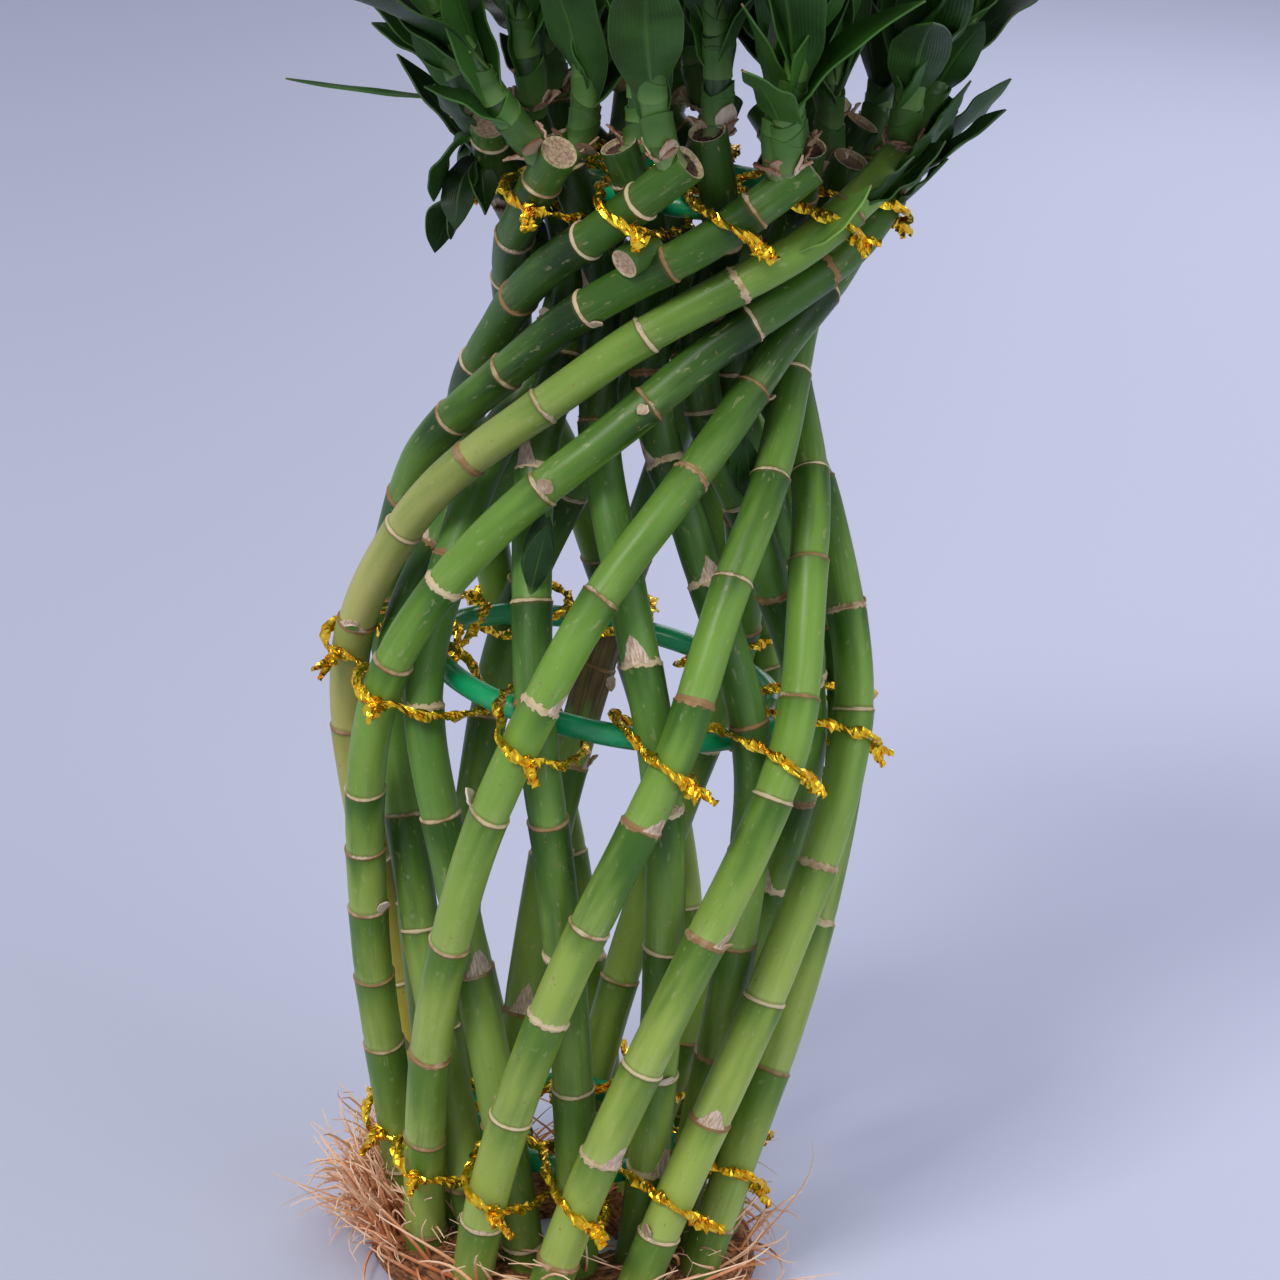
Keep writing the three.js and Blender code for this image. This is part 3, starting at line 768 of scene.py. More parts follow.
def stalk_skin(name, feet, belly, neck, bloom, withered=None):
    """Green rind, each given as a bright and a deep green near the feet, at the belly and at the neck. The
    darker neck greens are partly the rind's own colour and partly painted shade of the leaf crown.
    Each stretch between two rings is deep at its top and paler below, with fine streaks, thin tan rings,
    papery scars and small marks. One stretch may be withered."""
    rind = Finish(name, coat_weight=0.05, coat_roughness=0.3, specular_ior_level=0.22)
    skin = rind.attribute("skin")
    across, beside, reach = rind.attribute("ring").parts()
    _, band, tone = rind.attribute("blade").parts()
    height = rind.place().parts()[2]
    streaks = rind.noise(skin.stretched(1.7, 1.7, 0.05), detail=3)
    broad = rind.noise(skin.stretched(0.2, 0.2, 0.035))
    patches = rind.noise(skin.stretched(0.5, 0.5, 0.16), detail=3)
    # The greens darken from the feet up to the neck: partly the rind's own colour, partly painted shade cast
    # by the leaf crown.
    level = height + (broad - 0.5) * 50
    low, high = level.falling(60, 160), level.rising(165, 240)
    bright, deep = (
        rind.mix(high, rind.mix(low, at_belly, at_feet), neck_with_crown_shade)
        for at_feet, at_belly, neck_with_crown_shade in zip(feet, belly, neck)
    )
    depth = band ** 2.4 * 0.7 + (tone - 0.5) * 0.9 + (broad - 0.5) * 1.3 + 0.22
    green = rind.mix(depth.rising(0, 1), bright, deep)
    waxy = (streaks - 0.45) * 1.3 + (patches - 0.5) * 1.2 + (1 - band) ** 3 * 0.5
    green = rind.mix(waxy.rising(0.1, 1.3) * (low * 0.3 + 0.2), green, bloom)
    rubbed = rind.noise(skin.stretched(0.7, 0.7, 0.3), detail=4).rising(0.62, 0.7)
    green = rind.mix(rubbed * 0.24, green, "b7b483")
    specks = rind.noise(skin, 0.9, 1).rising(0.73, 0.78)
    green = rind.mix(specks * 0.6, green, "8a6437")
    if withered:
        bottom, top = withered
        low_edge = (height + patches * 34 - 17).rising(bottom, bottom + 14)
        dead = low_edge * (height + broad * 40).falling(top, top + 22)
        brown = rind.mix(streaks.rising(0.15, 0.85), "3a2817", "8d7048")
        green = rind.mix(dead * 0.92, green, brown)
    ragged = rind.noise(skin, 0.8, 3)
    uneven = rind.noise(skin, 0.28, 2)
    above = band.falling(0.4, 0.6)
    shadow = (across - uneven).falling(0.0, 0.7)
    green = rind.mix(shadow * 0.45, green, "5f5226")
    torn = reach.rising(1.3, 2.5) * (ragged - 0.3) * 2.2
    ring = (across - uneven * 0.75 - torn + ragged * 0.12).falling(-0.06, 0.12)
    scar = (reach * (1 - beside * 1.15) - across + (ragged - 0.5) * 1.6).rising(0.0, 0.4) * above
    dry = ring.most(scar)
    fibres = rind.noise(skin.stretched(2.2, 2.2, 0.5), detail=4)
    age = uneven * 0.7 + patches * 0.3 + (reach * 23).sine() * 0.2
    paper = rind.speckled(age, "927147", "cdba92")
    pale = rind.speckled(fibres, "a98c70", "d9c6b0")
    base = rind.mix(ring, green, paper)
    base = rind.mix(scar, base, pale)
    relief = ring * 0.2 + scar * 0.5 + streaks * 0.12 + fibres * scar * 0.3
    return rind.paint(
        base=base,
        roughness=dry * 0.35 + streaks * 0.14 + patches * 0.12 + 0.26,
        normal=rind.bump(relief, 0.0004, 0.7),
    )


def cut_face():
    """Sawn top of a stalk: pale rim, and a pith that is tan and speckled or dark and dried in."""
    cut = Finish("sawn_stalk_end", roughness=0.85)
    out, _, tone = cut.attribute("blade").parts()
    where = cut.place()
    grain = cut.noise(where, 1.3, 4)
    dots = cut.cells(where, 1.8).falling(0.14, 0.3)
    fresh = cut.speckled(grain, "9a7c5e", "c2a88b")
    fresh = cut.mix(dots * 0.6, fresh, "6a4a33")
    dried = cut.speckled(grain, "26160f", "634634")
    pith = cut.mix((tone + (grain - 0.5) * 0.3 - out * 0.12).rising(0.35, 0.62), fresh, dried)
    rim = (out + (grain - 0.5) * 0.12).rising(0.75, 0.83)
    base = cut.mix(rim, pith, cut.speckled(grain, "a28a62", "cfbd97"))
    return cut.paint(base=base, normal=cut.bump(grain + dots * 0.5, 0.0004, 0.8))


def leaf_face(name, deep, fresh, rib, shine):
    """Blade of a leaf: fine veins along it, a paler midrib, a thin pale edge and a pale foot."""
    blade = Finish(name, coat_weight=shine, coat_roughness=0.35, specular_ior_level=0.3)
    across, along, tone = blade.attribute("blade").parts()
    where = blade.place()
    cloudy = blade.noise(where, 0.07, 3)
    veins = (across * 60 + (cloudy - 0.5) * 6).sine()
    fine = blade.noise(where, 0.9, 3)
    green = blade.mix((tone * 0.8 + (cloudy - 0.5) * 1.3 + 0.05).rising(0, 1), deep, fresh)
    green = blade.mix((veins * 0.5 + 0.5) * 0.06, green, rib)
    midrib = abs(across).falling(0.02, 0.1) * (1 - along) ** 0.6
    green = blade.mix(midrib * 0.35, green, rib)
    edge = abs(across).rising(0.95, 1.0)
    green = blade.mix(edge * 0.3, green, rib)
    foot = along.falling(0.0, 0.14)
    green = blade.mix(foot * 0.45, green, "7f9f56")
    dry_tip = along.rising(0.965, 0.995) * tone.rising(0.55, 0.7)
    green = blade.mix(dry_tip * 0.8, green, "94793f")
    relief = veins * 0.12 + fine * 0.4 - midrib * 1.5
    return blade.paint(base=green, roughness=fine * 0.2 + 0.36, normal=blade.bump(relief, 0.00025, 0.6))


def shoot_skin():
    """Young green stem of a shoot."""
    stem = Finish("young_shoot_stem", coat_weight=0.12, coat_roughness=0.3)
    _, along, tone = stem.attribute("blade").parts()
    where = stem.place()
    patches = stem.noise(where, 0.25, 3)
    green = stem.mix((patches + (tone - 0.5) * 0.6).rising(0.25, 0.8), "234512", "4a7429")
    green = stem.mix(along.falling(0.0, 0.14) * 0.7, green, "8b9a5e")
    fine = stem.noise(where, 1.3, 3)
    return stem.paint(base=green, roughness=fine * 0.2 + 0.32, normal=stem.bump(fine, 0.0003, 0.4))


def dry_paper(name, dark, pale):
    """Dry papery scale or torn leaf foot."""
    scale = Finish(name, roughness=0.8)
    _, along, tone = scale.attribute("blade").parts()
    fibres = scale.noise(scale.place().stretched(1.5, 1.5, 0.4), detail=4)
    bleached = (fibres + (tone - 0.5) * 1.1 - along * 0.2).rising(0.1, 0.8)
    base = scale.mix(bleached, dark, pale)
    return scale.paint(base=base, normal=scale.bump(fibres, 0.0003, 0.8))


def hoop_coat():
    """Glossy green plastic coat of the wire."""
    coat = Finish("green_plastic_coat", coat_weight=0.3, coat_roughness=0.15)
    where = coat.place()
    haze = coat.noise(where, 0.05, 3)
    scuffs = coat.noise(where.stretched(1.8, 1.8, 0.5), detail=4)
    base = coat.speckled(haze, "068c50", "10a565")
    base = coat.mix(scuffs.rising(0.62, 0.75) * 0.3, base, "5fd0a2")
    return coat.paint(base=base, roughness=scuffs * 0.25 + 0.2, normal=coat.bump(scuffs, 0.0002, 0.5))


def gold_foil():
    """Crumpled gold foil ribbon, painted darker orange towards its creases as shade."""
    foil = Finish("crumpled_gold_foil", metallic=1.0)
    where = foil.place()
    creases = foil.cells(where, 0.55)
    fine = foil.noise(where, 0.8, 3)
    # Painted shade: the foil turns darker orange towards the creases between its facets.
    base = foil.mix((creases + (fine - 0.5) * 0.6).rising(0.2, 1.0), "ffd83a", "d9930f")
    return foil.paint(
        base=base,
        roughness=fine * 0.25 + 0.12,
        normal=foil.bump(creases * 0.8 + fine * 0.3, 0.0004, 0.6),
    )


def root_skin():
    """Fine root: orange brown where it starts, and pale towards its tip."""
    root = Finish("fine_root", roughness=0.6)
    _, along, tone = root.attribute("blade").parts()
    fine = root.noise(root.place(), 0.6, 3)
    old = root.mix(tone, "c06a36", "efaa74")
    base = root.mix((along + (fine - 0.5) * 0.5).rising(0.2, 1.0), old, "f6d0aa")
    return root.paint(base=base, normal=root.bump(fine, 0.0002, 0.5))


def root_felt():
    """Matted mass of old roots."""
    felt = Finish("matted_roots", roughness=0.85)
    where = felt.place()
    strands = felt.noise(where.stretched(0.5, 0.5, 1.6), detail=6)
    patches = felt.noise(where, 0.09, 3)
    base = felt.mix(strands.rising(0.35, 0.65), "4c2c18", "b87c4c")
    base = felt.mix(patches.rising(0.4, 0.7) * 0.5, base, "85502c")
    return felt.paint(base=base, normal=felt.bump(strands, 0.0015, 1.0))


OUTER_SKIN = stalk_skin(
    "outer_stalk_rind", ("9bb04f", "5a7b2b"), ("72983a", "355e1b"), ("3d621c", "1b350d"), "b9c48c",
)
# The inner layer's greens are darker than the outer layer's: painted shade inside the weave.
SHADED_INNER_SKIN = stalk_skin(
    "inner_stalk_rind", ("86a146", "4c6d25"), ("5b8636", "2c4f18"), ("2d4e16", "162c0a"), "9fb472",
)
YELLOW_SKIN = stalk_skin(
    "yellowing_stalk_rind", ("bdac4a", "a09338"), ("b2b166", "8d984a"), ("6d8f34", "4d6d25"), "cdcb97",
)
# The withered stalk is an inner one and keeps the inner layer's darker greens, painted shade inside the
# weave.
WITHERED_SKIN = stalk_skin(
    "withered_stalk_rind", ("7e9c42", "4f7026"), ("5b8636", "2c4f18"), ("34571b", "1a330d"), "9fb472",
    withered=(112, 168),
)
CUT_FACE = cut_face()
LEAF_TOP = leaf_face("leaf_upper_face", "0b2205", "2f5f16", "4f7c2d", 0.12)
LEAF_UNDER = leaf_face("leaf_under_face", "13320a", "37651f", "5f883b", 0.04)
FRESH_LEAF = leaf_face("fresh_leaf", "35591b", "6f9a3e", "8db25c", 0.05)
SHOOT_SKIN = shoot_skin()
BUD_PAPER = dry_paper("papery_bud_scale", "7a4c30", "c6a688")
TORN_PAPER = dry_paper("torn_leaf_foot", "a58a69", "d9c8b2")
HOOP_COAT = hoop_coat()
GOLD_FOIL = gold_foil()
ROOT_SKIN = root_skin()
ROOT_FELT = root_felt()


# Stalks

STALK_COLUMNS = 22
STALK_LIMB_STEPS = 140
STUB_LIMB_STEPS = 20
ROW_STEP = 3.2
CLEAR_OF_RING = 2.2
CLEAR_OF_CUT = 0.7
RING_ROWS = (-1.4, -0.7, -0.34, -0.1, 0.1, 0.34, 0.7, 1.4)
RING = {"lift": 0.13, "width": 0.4, "slant": 0.35, "slant_width": 1.6}
GROOVE = {"depth": 0.1, "above": 1.4, "width": 0.9}
RIND_SHARE = 0.985
SWELL_BELOW_RING = 0.28
# Uneven rind: size, lobes round the stalk and drift along it
DENTS = ((0.1, 2, 0.03), (0.07, 3, -0.05))
TONE_SPREAD = 0.8
SCAR_REACH = (0.4, 1.3)
LONG_SCAR_REACH = (2.5, 8)
LONG_SCAR_CHANCE = 0.3
SKIN_SHIFT = 977
# Rows across a sawn top: share of the radius, and height above the cut or share of the pith's depth
SAWN_RIM = ((1.0, -0.5), (0.99, -0.12), (0.95, 0.05), (0.87, 0.0))
SAWN_PITH = ((0.83, 0.6), (0.6, 1.0), (0.3, 1.1), (0.0001, 1.1))
SAWN_EDGE_ROWS = 2
PITH = {"dried": {"sunk": 1.5, "tone": (0.55, 1)}, "fresh": {"sunk": 0.25, "tone": (0, 0.3)}}

WITHERED_STALK = "inner_stalk_07"
BUDDING_STALKS = ("inner_stalk_01", "inner_stalk_04", "inner_stalk_09")
SHORT_JOINTED_STALK = "outer_stalk_09"
SHORT_JOINTS = {"wide": 20, "below": 136}
STUMP_STALK = "outer_stalk_07"
STUMP = {"height": 247, "radius": 3.7, "flattened": 0.94, "rows": 9}
STUMP_CUT = ((0.98, 0.1), (0.94, 0.2), (0.86, 0.12), (0.6, -0.1), (0.3, -0.2), (0.0001, -0.2))
TWIG = {"height": 118, "radii": (1.0, 0.45), "columns": 8, "rows": 14}


def hump(offset):
    return np.exp(-offset ** 2)


def along_rows(length, nodes):
    """Distances of the rows of a stalk: even, and close together at each ring."""
    last = length - CLEAR_OF_CUT
    even = [
        row for row in np.arange(0, last, ROW_STEP)
        if all(abs(row - node) > CLEAR_OF_RING for node in nodes)
    ]
    return sorted(even + [node + offset for node in nodes for offset in RING_ROWS if node + offset < last])


def with_extra_rings(stalk):
    """One more ring halfway between each two wide-set rings of the lower half."""
    line, nodes = stalk["line"], stalk["nodes"]
    tied = line.tied_distances()
    middles = [(low + high) / 2 for low, high in zip(nodes, nodes[1:]) if high - low > SHORT_JOINTS["wide"]]
    return sorted(nodes + [
        middle for middle in middles
        if line.at(middle / line.length)[2] < SHORT_JOINTS["below"]
        and all(abs(middle - tie) > CLEAR_OF_TIE for tie in tied)
    ])


def use_cut_face(piece, row, first):
    """The second material on the rows from the first one on."""
    for face in piece.data.polygons:
        if min(row[corner] for corner in face.vertices) >= first:
            face.material_index = 1


def stalk_stem(stalk, draw):
    """Stem with a thin raised ring at each node and a sawn top."""
    line, nodes = stalk["line"], stalk["nodes"]
    limb = Limb(line, lambda point: point * LEVEL, STALK_LIMB_STEPS)
    pith = PITH["dried" if stalk["layer"] == "inner" or stalk["place"] % 4 == 1 else "fresh"]
    rows = [(along, 1.0, 0.0) for along in along_rows(line.length, nodes)]
    first_cut = len(rows) + SAWN_EDGE_ROWS
    rows += [(line.length, share, lift) for share, lift in SAWN_RIM]
    rows += [(line.length, share, -pith["sunk"] * depth) for share, depth in SAWN_PITH]
    along, share, lift = np.array(rows).T
    foot_to_top = np.interp(along, limb.distances, limb.frames[:, 2]) / HOOPS["top"]["height"]
    edges = np.array([-INTERNODE["foot"] / 2, *nodes, line.length + INTERNODE["top"] / 2])
    below = np.clip(np.searchsorted(edges, along, side="right") - 1, 0, len(edges) - 2)
    band = np.clip((along - edges[below]) / (edges[below + 1] - edges[below]), 0, 1)
    nearest = np.array([min(nodes, key=lambda node: abs(node - at)) for at in along])
    from_ring = along - nearest
    radius = lerp(STALK_FOOT_RADIUS, STALK_TOP_RADIUS, np.clip(foot_to_top, 0, 1)) * RIND_SHARE
    radius += SWELL_BELOW_RING * band ** 4 + RING["lift"] * hump(from_ring / RING["width"])
    radius -= GROOVE["depth"] * hump((from_ring - GROOVE["above"]) / GROOVE["width"])
    radius = np.where(share < 1, stalk_radius_at(line.at(1)[2]), radius) * share

    piece, turn, row = rolled_grid(stalk["name"] + "_stem", STALK_COLUMNS, len(rows) - 1)
    shade = TONE_SPREAD * (draw() - 0.5)
    tones = np.clip([0.5 + shade + TONE_SPREAD * (draw() - 0.5) for _ in edges], 0, 1)
    sides = {node: 2 * math.pi * draw() for node in nodes}
    reaches = {
        node: draw.between(*SCAR_REACH) + (draw.between(*LONG_SCAR_REACH) if draw() < LONG_SCAR_CHANCE else 0)
        for node in nodes
    }
    stalk["scars"] = list(sides.items())
    cut_tone = draw.between(*pith["tone"])
    scar_side, reach = (np.array([values[node] for node in nearest]) for values in (sides, reaches))
    of_rows = (along, share, lift, band, from_ring, radius, scar_side, reach, tones[below])
    along, share, lift, band, from_ring, radius, scar_side, reach, tone = (values[row] for values in of_rows)
    phases = (6 * tones[0], 0)
    dent = sum(
        size * np.sin(lobes * turn + drift * along + phase)
        for (size, lobes, drift), phase in zip(DENTS, phases)
    )
    slant = RING["slant"] * np.sin(turn + 6 * tones[1]) * hump(from_ring / RING["slant_width"])
    beside = (turn - scar_side + math.pi) % (2 * math.pi) - math.pi
    cut = row >= first_cut
    use_cut_face(piece, row, first_cut)
    shaped(
        piece, limb.around(along, radius + dent * (share >= 1), turn, lift + slant), stalk["skin"], CUT_FACE,
        skin=stacked(radius * np.sin(turn), radius * np.cos(turn), along + SKIN_SHIFT * tones[0]),
        ring=stacked(np.abs(from_ring), np.abs(beside), reach),
        blade=stacked(np.where(cut, share, 0), band, np.where(cut, cut_tone, tone)),
    )
    cut_level(piece)
    return piece


def cut_stump(stalk):
    """Sawn-off stump of a side branch on the front of a stalk, just under the top ties."""
    line = stalk["line"]
    centre, side, out, tangent = stalk_frame(line, line.distance_to(STUMP["height"]) / line.length)
    upper = side * math.copysign(1, side[2])
    root = centre + tangent * 4.5 + upper * 4.5 - out * 1.5
    face = centre + out * 5.6 + upper * 5
    stump = Bezier(root, face - unit(out * 0.85 - tangent * 0.5) * 3.5, face)
    rows = [(share, 1.0, 0.0) for share in np.linspace(0, 1, STUMP["rows"])]
    rows += [(1.0, share, lift) for share, lift in STUMP_CUT]
    piece, turn, row = rolled_grid("cut_stump", STALK_COLUMNS, len(rows) - 1)
    along, share, lift = np.array(rows).T[:, row]
    beside = STUMP["radius"] * share * np.sin(turn)
    ahead = STUMP["radius"] * share * np.cos(turn) * STUMP["flattened"]
    cut = row > STUMP["rows"]
    use_cut_face(piece, row, STUMP["rows"] + 1)
    limb = Limb(stump, UPWARDS, STUB_LIMB_STEPS)
    return shaped(
        piece, limb.corners(along * stump.length, beside, ahead, lift), stalk["skin"], CUT_FACE, closed=True,
        skin=stacked(beside, ahead, along * stump.length),
        blade=stacked(np.where(cut, share, 0), along * 0.6, np.where(cut, 0.1, 0.5)),
    )


def dry_twig(stalk):
    """Thin dead side twig of the withered stalk."""
    line = stalk["line"]
    u = line.distance_to(TWIG["height"]) / line.length
    root, tangent = line.at(u), line.tangent(u)
    lean = np.array([-1.0, -0.1, 0.0])
    twig = Bezier(root, root + lean * 7 + tangent, root + lean * 11 + UPWARDS * 6)
    piece, turn, row = rolled_grid("dry_side_twig", TWIG["columns"], TWIG["rows"])
    share = row / TWIG["rows"]
    limb = Limb(twig, UPWARDS, STUB_LIMB_STEPS)
    corners = limb.around(share * twig.length, lerp(*TWIG["radii"], share), turn)
    skin = stacked(np.sin(turn), np.cos(turn), row)
    return shaped(piece, corners, WITHERED_SKIN, closed=True, skin=skin, blade=(0, 0.5, 0.2))


# Shoots and leaves

LEAF_COLUMNS = 8
LEAF_ROWS = 22
LEAF_LIMB_STEPS = 24
LEAF_THICKNESS = 0.45
# Share of the length, and of the half width there
LEAF_OUTLINE = [
    (0, 0.22), (0.07, 0.32), (0.18, 0.66), (0.34, 1.0), (0.52, 1.06), (0.7, 0.88), (0.84, 0.57),
    (0.94, 0.23), (1, 0.01),
]
LEAF_FOLD = (1.1, 0.24)
LEAF_WAVES = (2.2, 3.6)
LEAF_WAVE_HEIGHT = (0.04, 0.14)
LEAF_TWIST = 30
SCRAP_GRID = (4, 8)
BUD_GRID = (6, 12)
SHEATH_GRID = (14, 5)
SHEATH_REACH = 6.5
SHORT_SHEATH_REACH = 3
SHORT_LEAVES = 7
SHORT_LEAF_PLACES = (0.1, 0.98)
SHORT_LEAF_LENGTH = (22, 42)
SHORT_LEAF_SPREAD = (25, 11)
SHORT_LEAF_WIDTH_SHARE = 0.165
LOW_LEAVES = {"left": 8, "right": 5}
LOW_LEAF_BELOW_CUT = (8, 26)
LOW_LEAF_TURN = 55
LOW_LEAF_LENGTH = (14, 26)
LOW_LEAF_WIDTH_SHARE = 0.22
HANGING_FROM = 2
AT_THE_SIDE = 0.72
SHOOT_COLUMNS = 12
SHOOT_ROWS = 26
SHOOT_LIMB_STEPS = 60
BUD_SCALES = 2
CLUMPED_SCALES = 4
SCALE_SUNK = (2, 3.5)
SCALE_FORM = {"size": (4, 6.5), "width": (1.6, 2.8), "lean": (0, 0.3)}
CLUMP_FORM = {"size": (2.5, 4.5), "width": (1.6, 2.8), "lean": (0.2, 1.1)}
FLAP_FORM = {"size": (2.2, 4.5), "width": (1.1, 2), "lean": (0.1, 0.45)}
FLAP_CHANCE = 0.24
FLAP_UPWARDS_CHANCE = 0.7
SIDE_BUD = {"leaves": 3, "height": 150, "height_spread": 60, "sizes": (11, 19), "width_share": 0.17}
STRAY_LEAF = ((-22, 0, -1.5), (-45, -2, 1.0))
STRAY_LEAF_HALF_WIDTH = 1.5
FOLDED_LEAF_HEIGHT = 254
FOLDED_LEAF = ((6.0, -3.0, 4.0), (12.5, -2.0, 16.0))
FOLDED_LEAF_FACING = (-0.9, -0.1, 0.4)
FOLDED_LEAF_HALF_WIDTH = 4.0


def rotated(beside, ahead, turn):
    return beside * np.cos(turn) - ahead * np.sin(turn), beside * np.sin(turn) + ahead * np.cos(turn)


def leaf_blade(
    name, line, axis, half_width, tone, draw, faces=(LEAF_TOP, LEAF_UNDER), grid=(LEAF_COLUMNS, LEAF_ROWS),
):
    """Blade with a fold along its midrib, waved edges and a slow twist."""
    columns, rows = grid
    piece, column, row = cloth_grid(name, columns, rows)
    share = row / rows
    across = column / columns * 2 - 1
    outline = np.array([through(LEAF_OUTLINE, i / rows) for i in range(rows + 1)])[row] * half_width
    fold = lerp(*LEAF_FOLD, np.clip(share / 0.3, 0, 1)) * (1 - 0.35 * share)
    beat = 2 * math.pi * draw.between(*LEAF_WAVES)
    phase = 6.28 * draw()
    wave = draw.between(*LEAF_WAVE_HEIGHT) * np.sin(np.pi * share)
    wave = wave * np.sin(beat * share + phase + np.where(across > 0, 1.9, 0))
    bed = np.abs(across) ** 1.4 * fold + wave * across ** 2
    twist = math.radians(LEAF_TWIST * draw.sway()) * share
    limb = Limb(line, axis, LEAF_LIMB_STEPS)
    corners = limb.corners(share * line.length, *rotated(across * outline, bed * outline, twist))
    return shaped(piece, corners, *faces, seam=False, blade=stacked(across, share, tone))


def shoot_radius(share):
    stout = np.clip((share - SHOOT_STOUT_SHARE) / (1 - SHOOT_STOUT_SHARE), 0, 1)
    return lerp(SHOOT_FOOT_RADIUS, SHOOT_TIP_RADIUS, stout) * 0.97


def leaf_sheath(name, limb, u, turned_to, tone, reach):
    """Foot of a leaf, wrapped round the stem, higher on the side of its blade."""
    piece, turn, row = rolled_grid(name, *SHEATH_GRID)
    rise = row / SHEATH_GRID[1]
    length = limb.line.length
    start = max(u * length - reach, 3)
    height = u * length - start + 3.5 * (0.5 + 0.5 * np.cos(turn - turned_to)) ** 1.5
    along = np.minimum(start + rise * height, length)
    radius = shoot_radius(along / length) + 0.2 + 0.35 * rise ** 2
    corners = limb.around(along, radius, turn)
    return shaped(piece, corners, LEAF_UNDER, LEAF_UNDER, blade=stacked(0, 0.04 + 0.12 * rise, tone))


def shoot_stem(name, limb, leaf_places, tone):
    """Stem of a shoot, swollen a little below each leaf and closed at its tip."""
    shares = np.linspace(0, 1, SHOOT_ROWS)
    radii = shoot_radius(shares)
    for place in leaf_places:
        radii = radii + 0.2 * hump((shares - place + 0.05) * 28)
    shares = np.append(shares, [1.0, 1.0])
    radii = np.append(radii, [radii[-1] * 0.6, 0.0001])
    lifts = np.append(np.zeros(SHOOT_ROWS), [0.6, 0.9])
    piece, turn, row = rolled_grid(name, SHOOT_COLUMNS, len(shares) - 1)
    corners = limb.around(shares[row] * limb.line.length, radii[row], turn, lifts[row])
    return shaped(piece, corners, SHOOT_SKIN, closed=True, blade=stacked(0, shares[row], tone))


def paper_scrap(name, paper, foot, out, tangent, form, draw):
    """Small dry papery blade that stands off a stem."""
    size, width, lean = (draw.between(*form[part]) for part in ("size", "width", "lean"))
    knee = foot + out * size * 0.15 + tangent * size * 0.55
    tip = knee + out * size * lean + tangent * size * 0.5
    return leaf_blade(name, Bezier(foot, knee, tip), -out, width, draw(), draw, (paper, paper), SCRAP_GRID)


def bud_scale(name, line, turn, form, draw):
    """Papery scale at the foot of a shoot."""
    centre, side, front = stand_frame(line, 0.1, FRONT)
    out, tangent = turned(side, front, turn), line.tangent(0.1)
    foot = centre + out * (SHOOT_FOOT_RADIUS * 0.85) - tangent * draw.between(*SCALE_SUNK)
    return paper_scrap(name, BUD_PAPER, foot, out, tangent, form, draw)


def ring_flap(name, stalk, node, turn, draw):
    """Torn papery end of an old leaf foot, left standing at a ring of a stalk."""
    centre, side, front, tangent = stalk_frame(stalk["line"], node / stalk["line"].length)
    out = turned(side, front, turn)
    foot = centre + out * (stalk_radius_at(centre[2]) - 0.1) - tangent * 0.5
    upwards = tangent * (1 if draw() < FLAP_UPWARDS_CHANCE else -1)
    return paper_scrap(name, TORN_PAPER, foot, out, upwards, FLAP_FORM, draw)


def short_leaves(shoot, draw):
    """Small leaves between the long ones, from the foot of a shoot to its tip."""
    leaves = []
    for i in range(SHORT_LEAVES):
        share = (i + draw()) / SHORT_LEAVES
        u = lerp(*SHORT_LEAF_PLACES, share)
        azimuth = shoot["start"] + GOLDEN_ANGLE * (i + 0.5) + 70 + 25 * draw.sway()
        bulge = math.sin(math.pi * lerp(0.1, 0.75, share))
        size = lerp(*SHORT_LEAF_LENGTH, bulge) * draw.between(0.85, 1.2)
        spread = lerp(*SHORT_LEAF_SPREAD, share) * draw.between(0.6, 1.3)
        line = leaf_line(shoot["line"], u, azimuth, size, spread)
        leaves.append({"line": line, "u": u, "azimuth": azimuth, "short": True})
    return leaves


def low_leaves(stalk, draw):
    """Leaves that grow straight from an outer stalk just below its cut, at the two sides of the bundle."""
    line = stalk["line"]
    top = line.at(1)
    away = top[0] - axis_at(top[2])[0]
    if abs(away) < AT_THE_SIDE * layer_radius("outer", top[2]):
        return []
    blades = []
    for i in range(LOW_LEAVES["left" if away < 0 else "right"]):
        root = line.at((line.length - draw.between(*LOW_LEAF_BELOW_CUT)) / line.length)
        angle = angle_of(root) + LOW_LEAF_TURN * draw.sway()
        out = outward_at(angle)
        foot = root + out * stalk_radius_at(root[2]) * 0.8
        size = draw.between(*LOW_LEAF_LENGTH)
        if away < 0 and i >= HANGING_FROM:
            knee = foot + out * size * 0.3 + UPWARDS * size * 0.12
            tip = knee + out * size * 0.08 - UPWARDS * size * 0.8
        else:
            knee = foot + out * size * 0.35 + UPWARDS * size * 0.35
            tip = knee + out * size * draw.between(0.1, 0.55) + UPWARDS * size * 0.5
        tip = tip + sideways_at(angle) * size * 0.3 * draw.sway()
        facing = UPWARDS if knee[2] > tip[2] else -out
        name, half = f"{stalk['name']}_low_leaf_{i}", size * LOW_LEAF_WIDTH_SHARE
        blades.append(leaf_blade(name, Bezier(foot, knee, tip), facing, half, 0.6 * draw(), draw))
    return blades


def stray_leaf(stalk, draw):
    """Thin leaf that sticks out sideways from the leftmost shoot."""
    shoot = min(stalk["shoots"], key=lambda shoot: shoot["line"].at(0.3)[0])
    root = shoot["line"].at(0.1)
    line = Bezier(root, *(root + step for step in np.array(STRAY_LEAF)))
    return leaf_blade("stray_thin_leaf", line, UPWARDS, STRAY_LEAF_HALF_WIDTH, 0.6, draw)


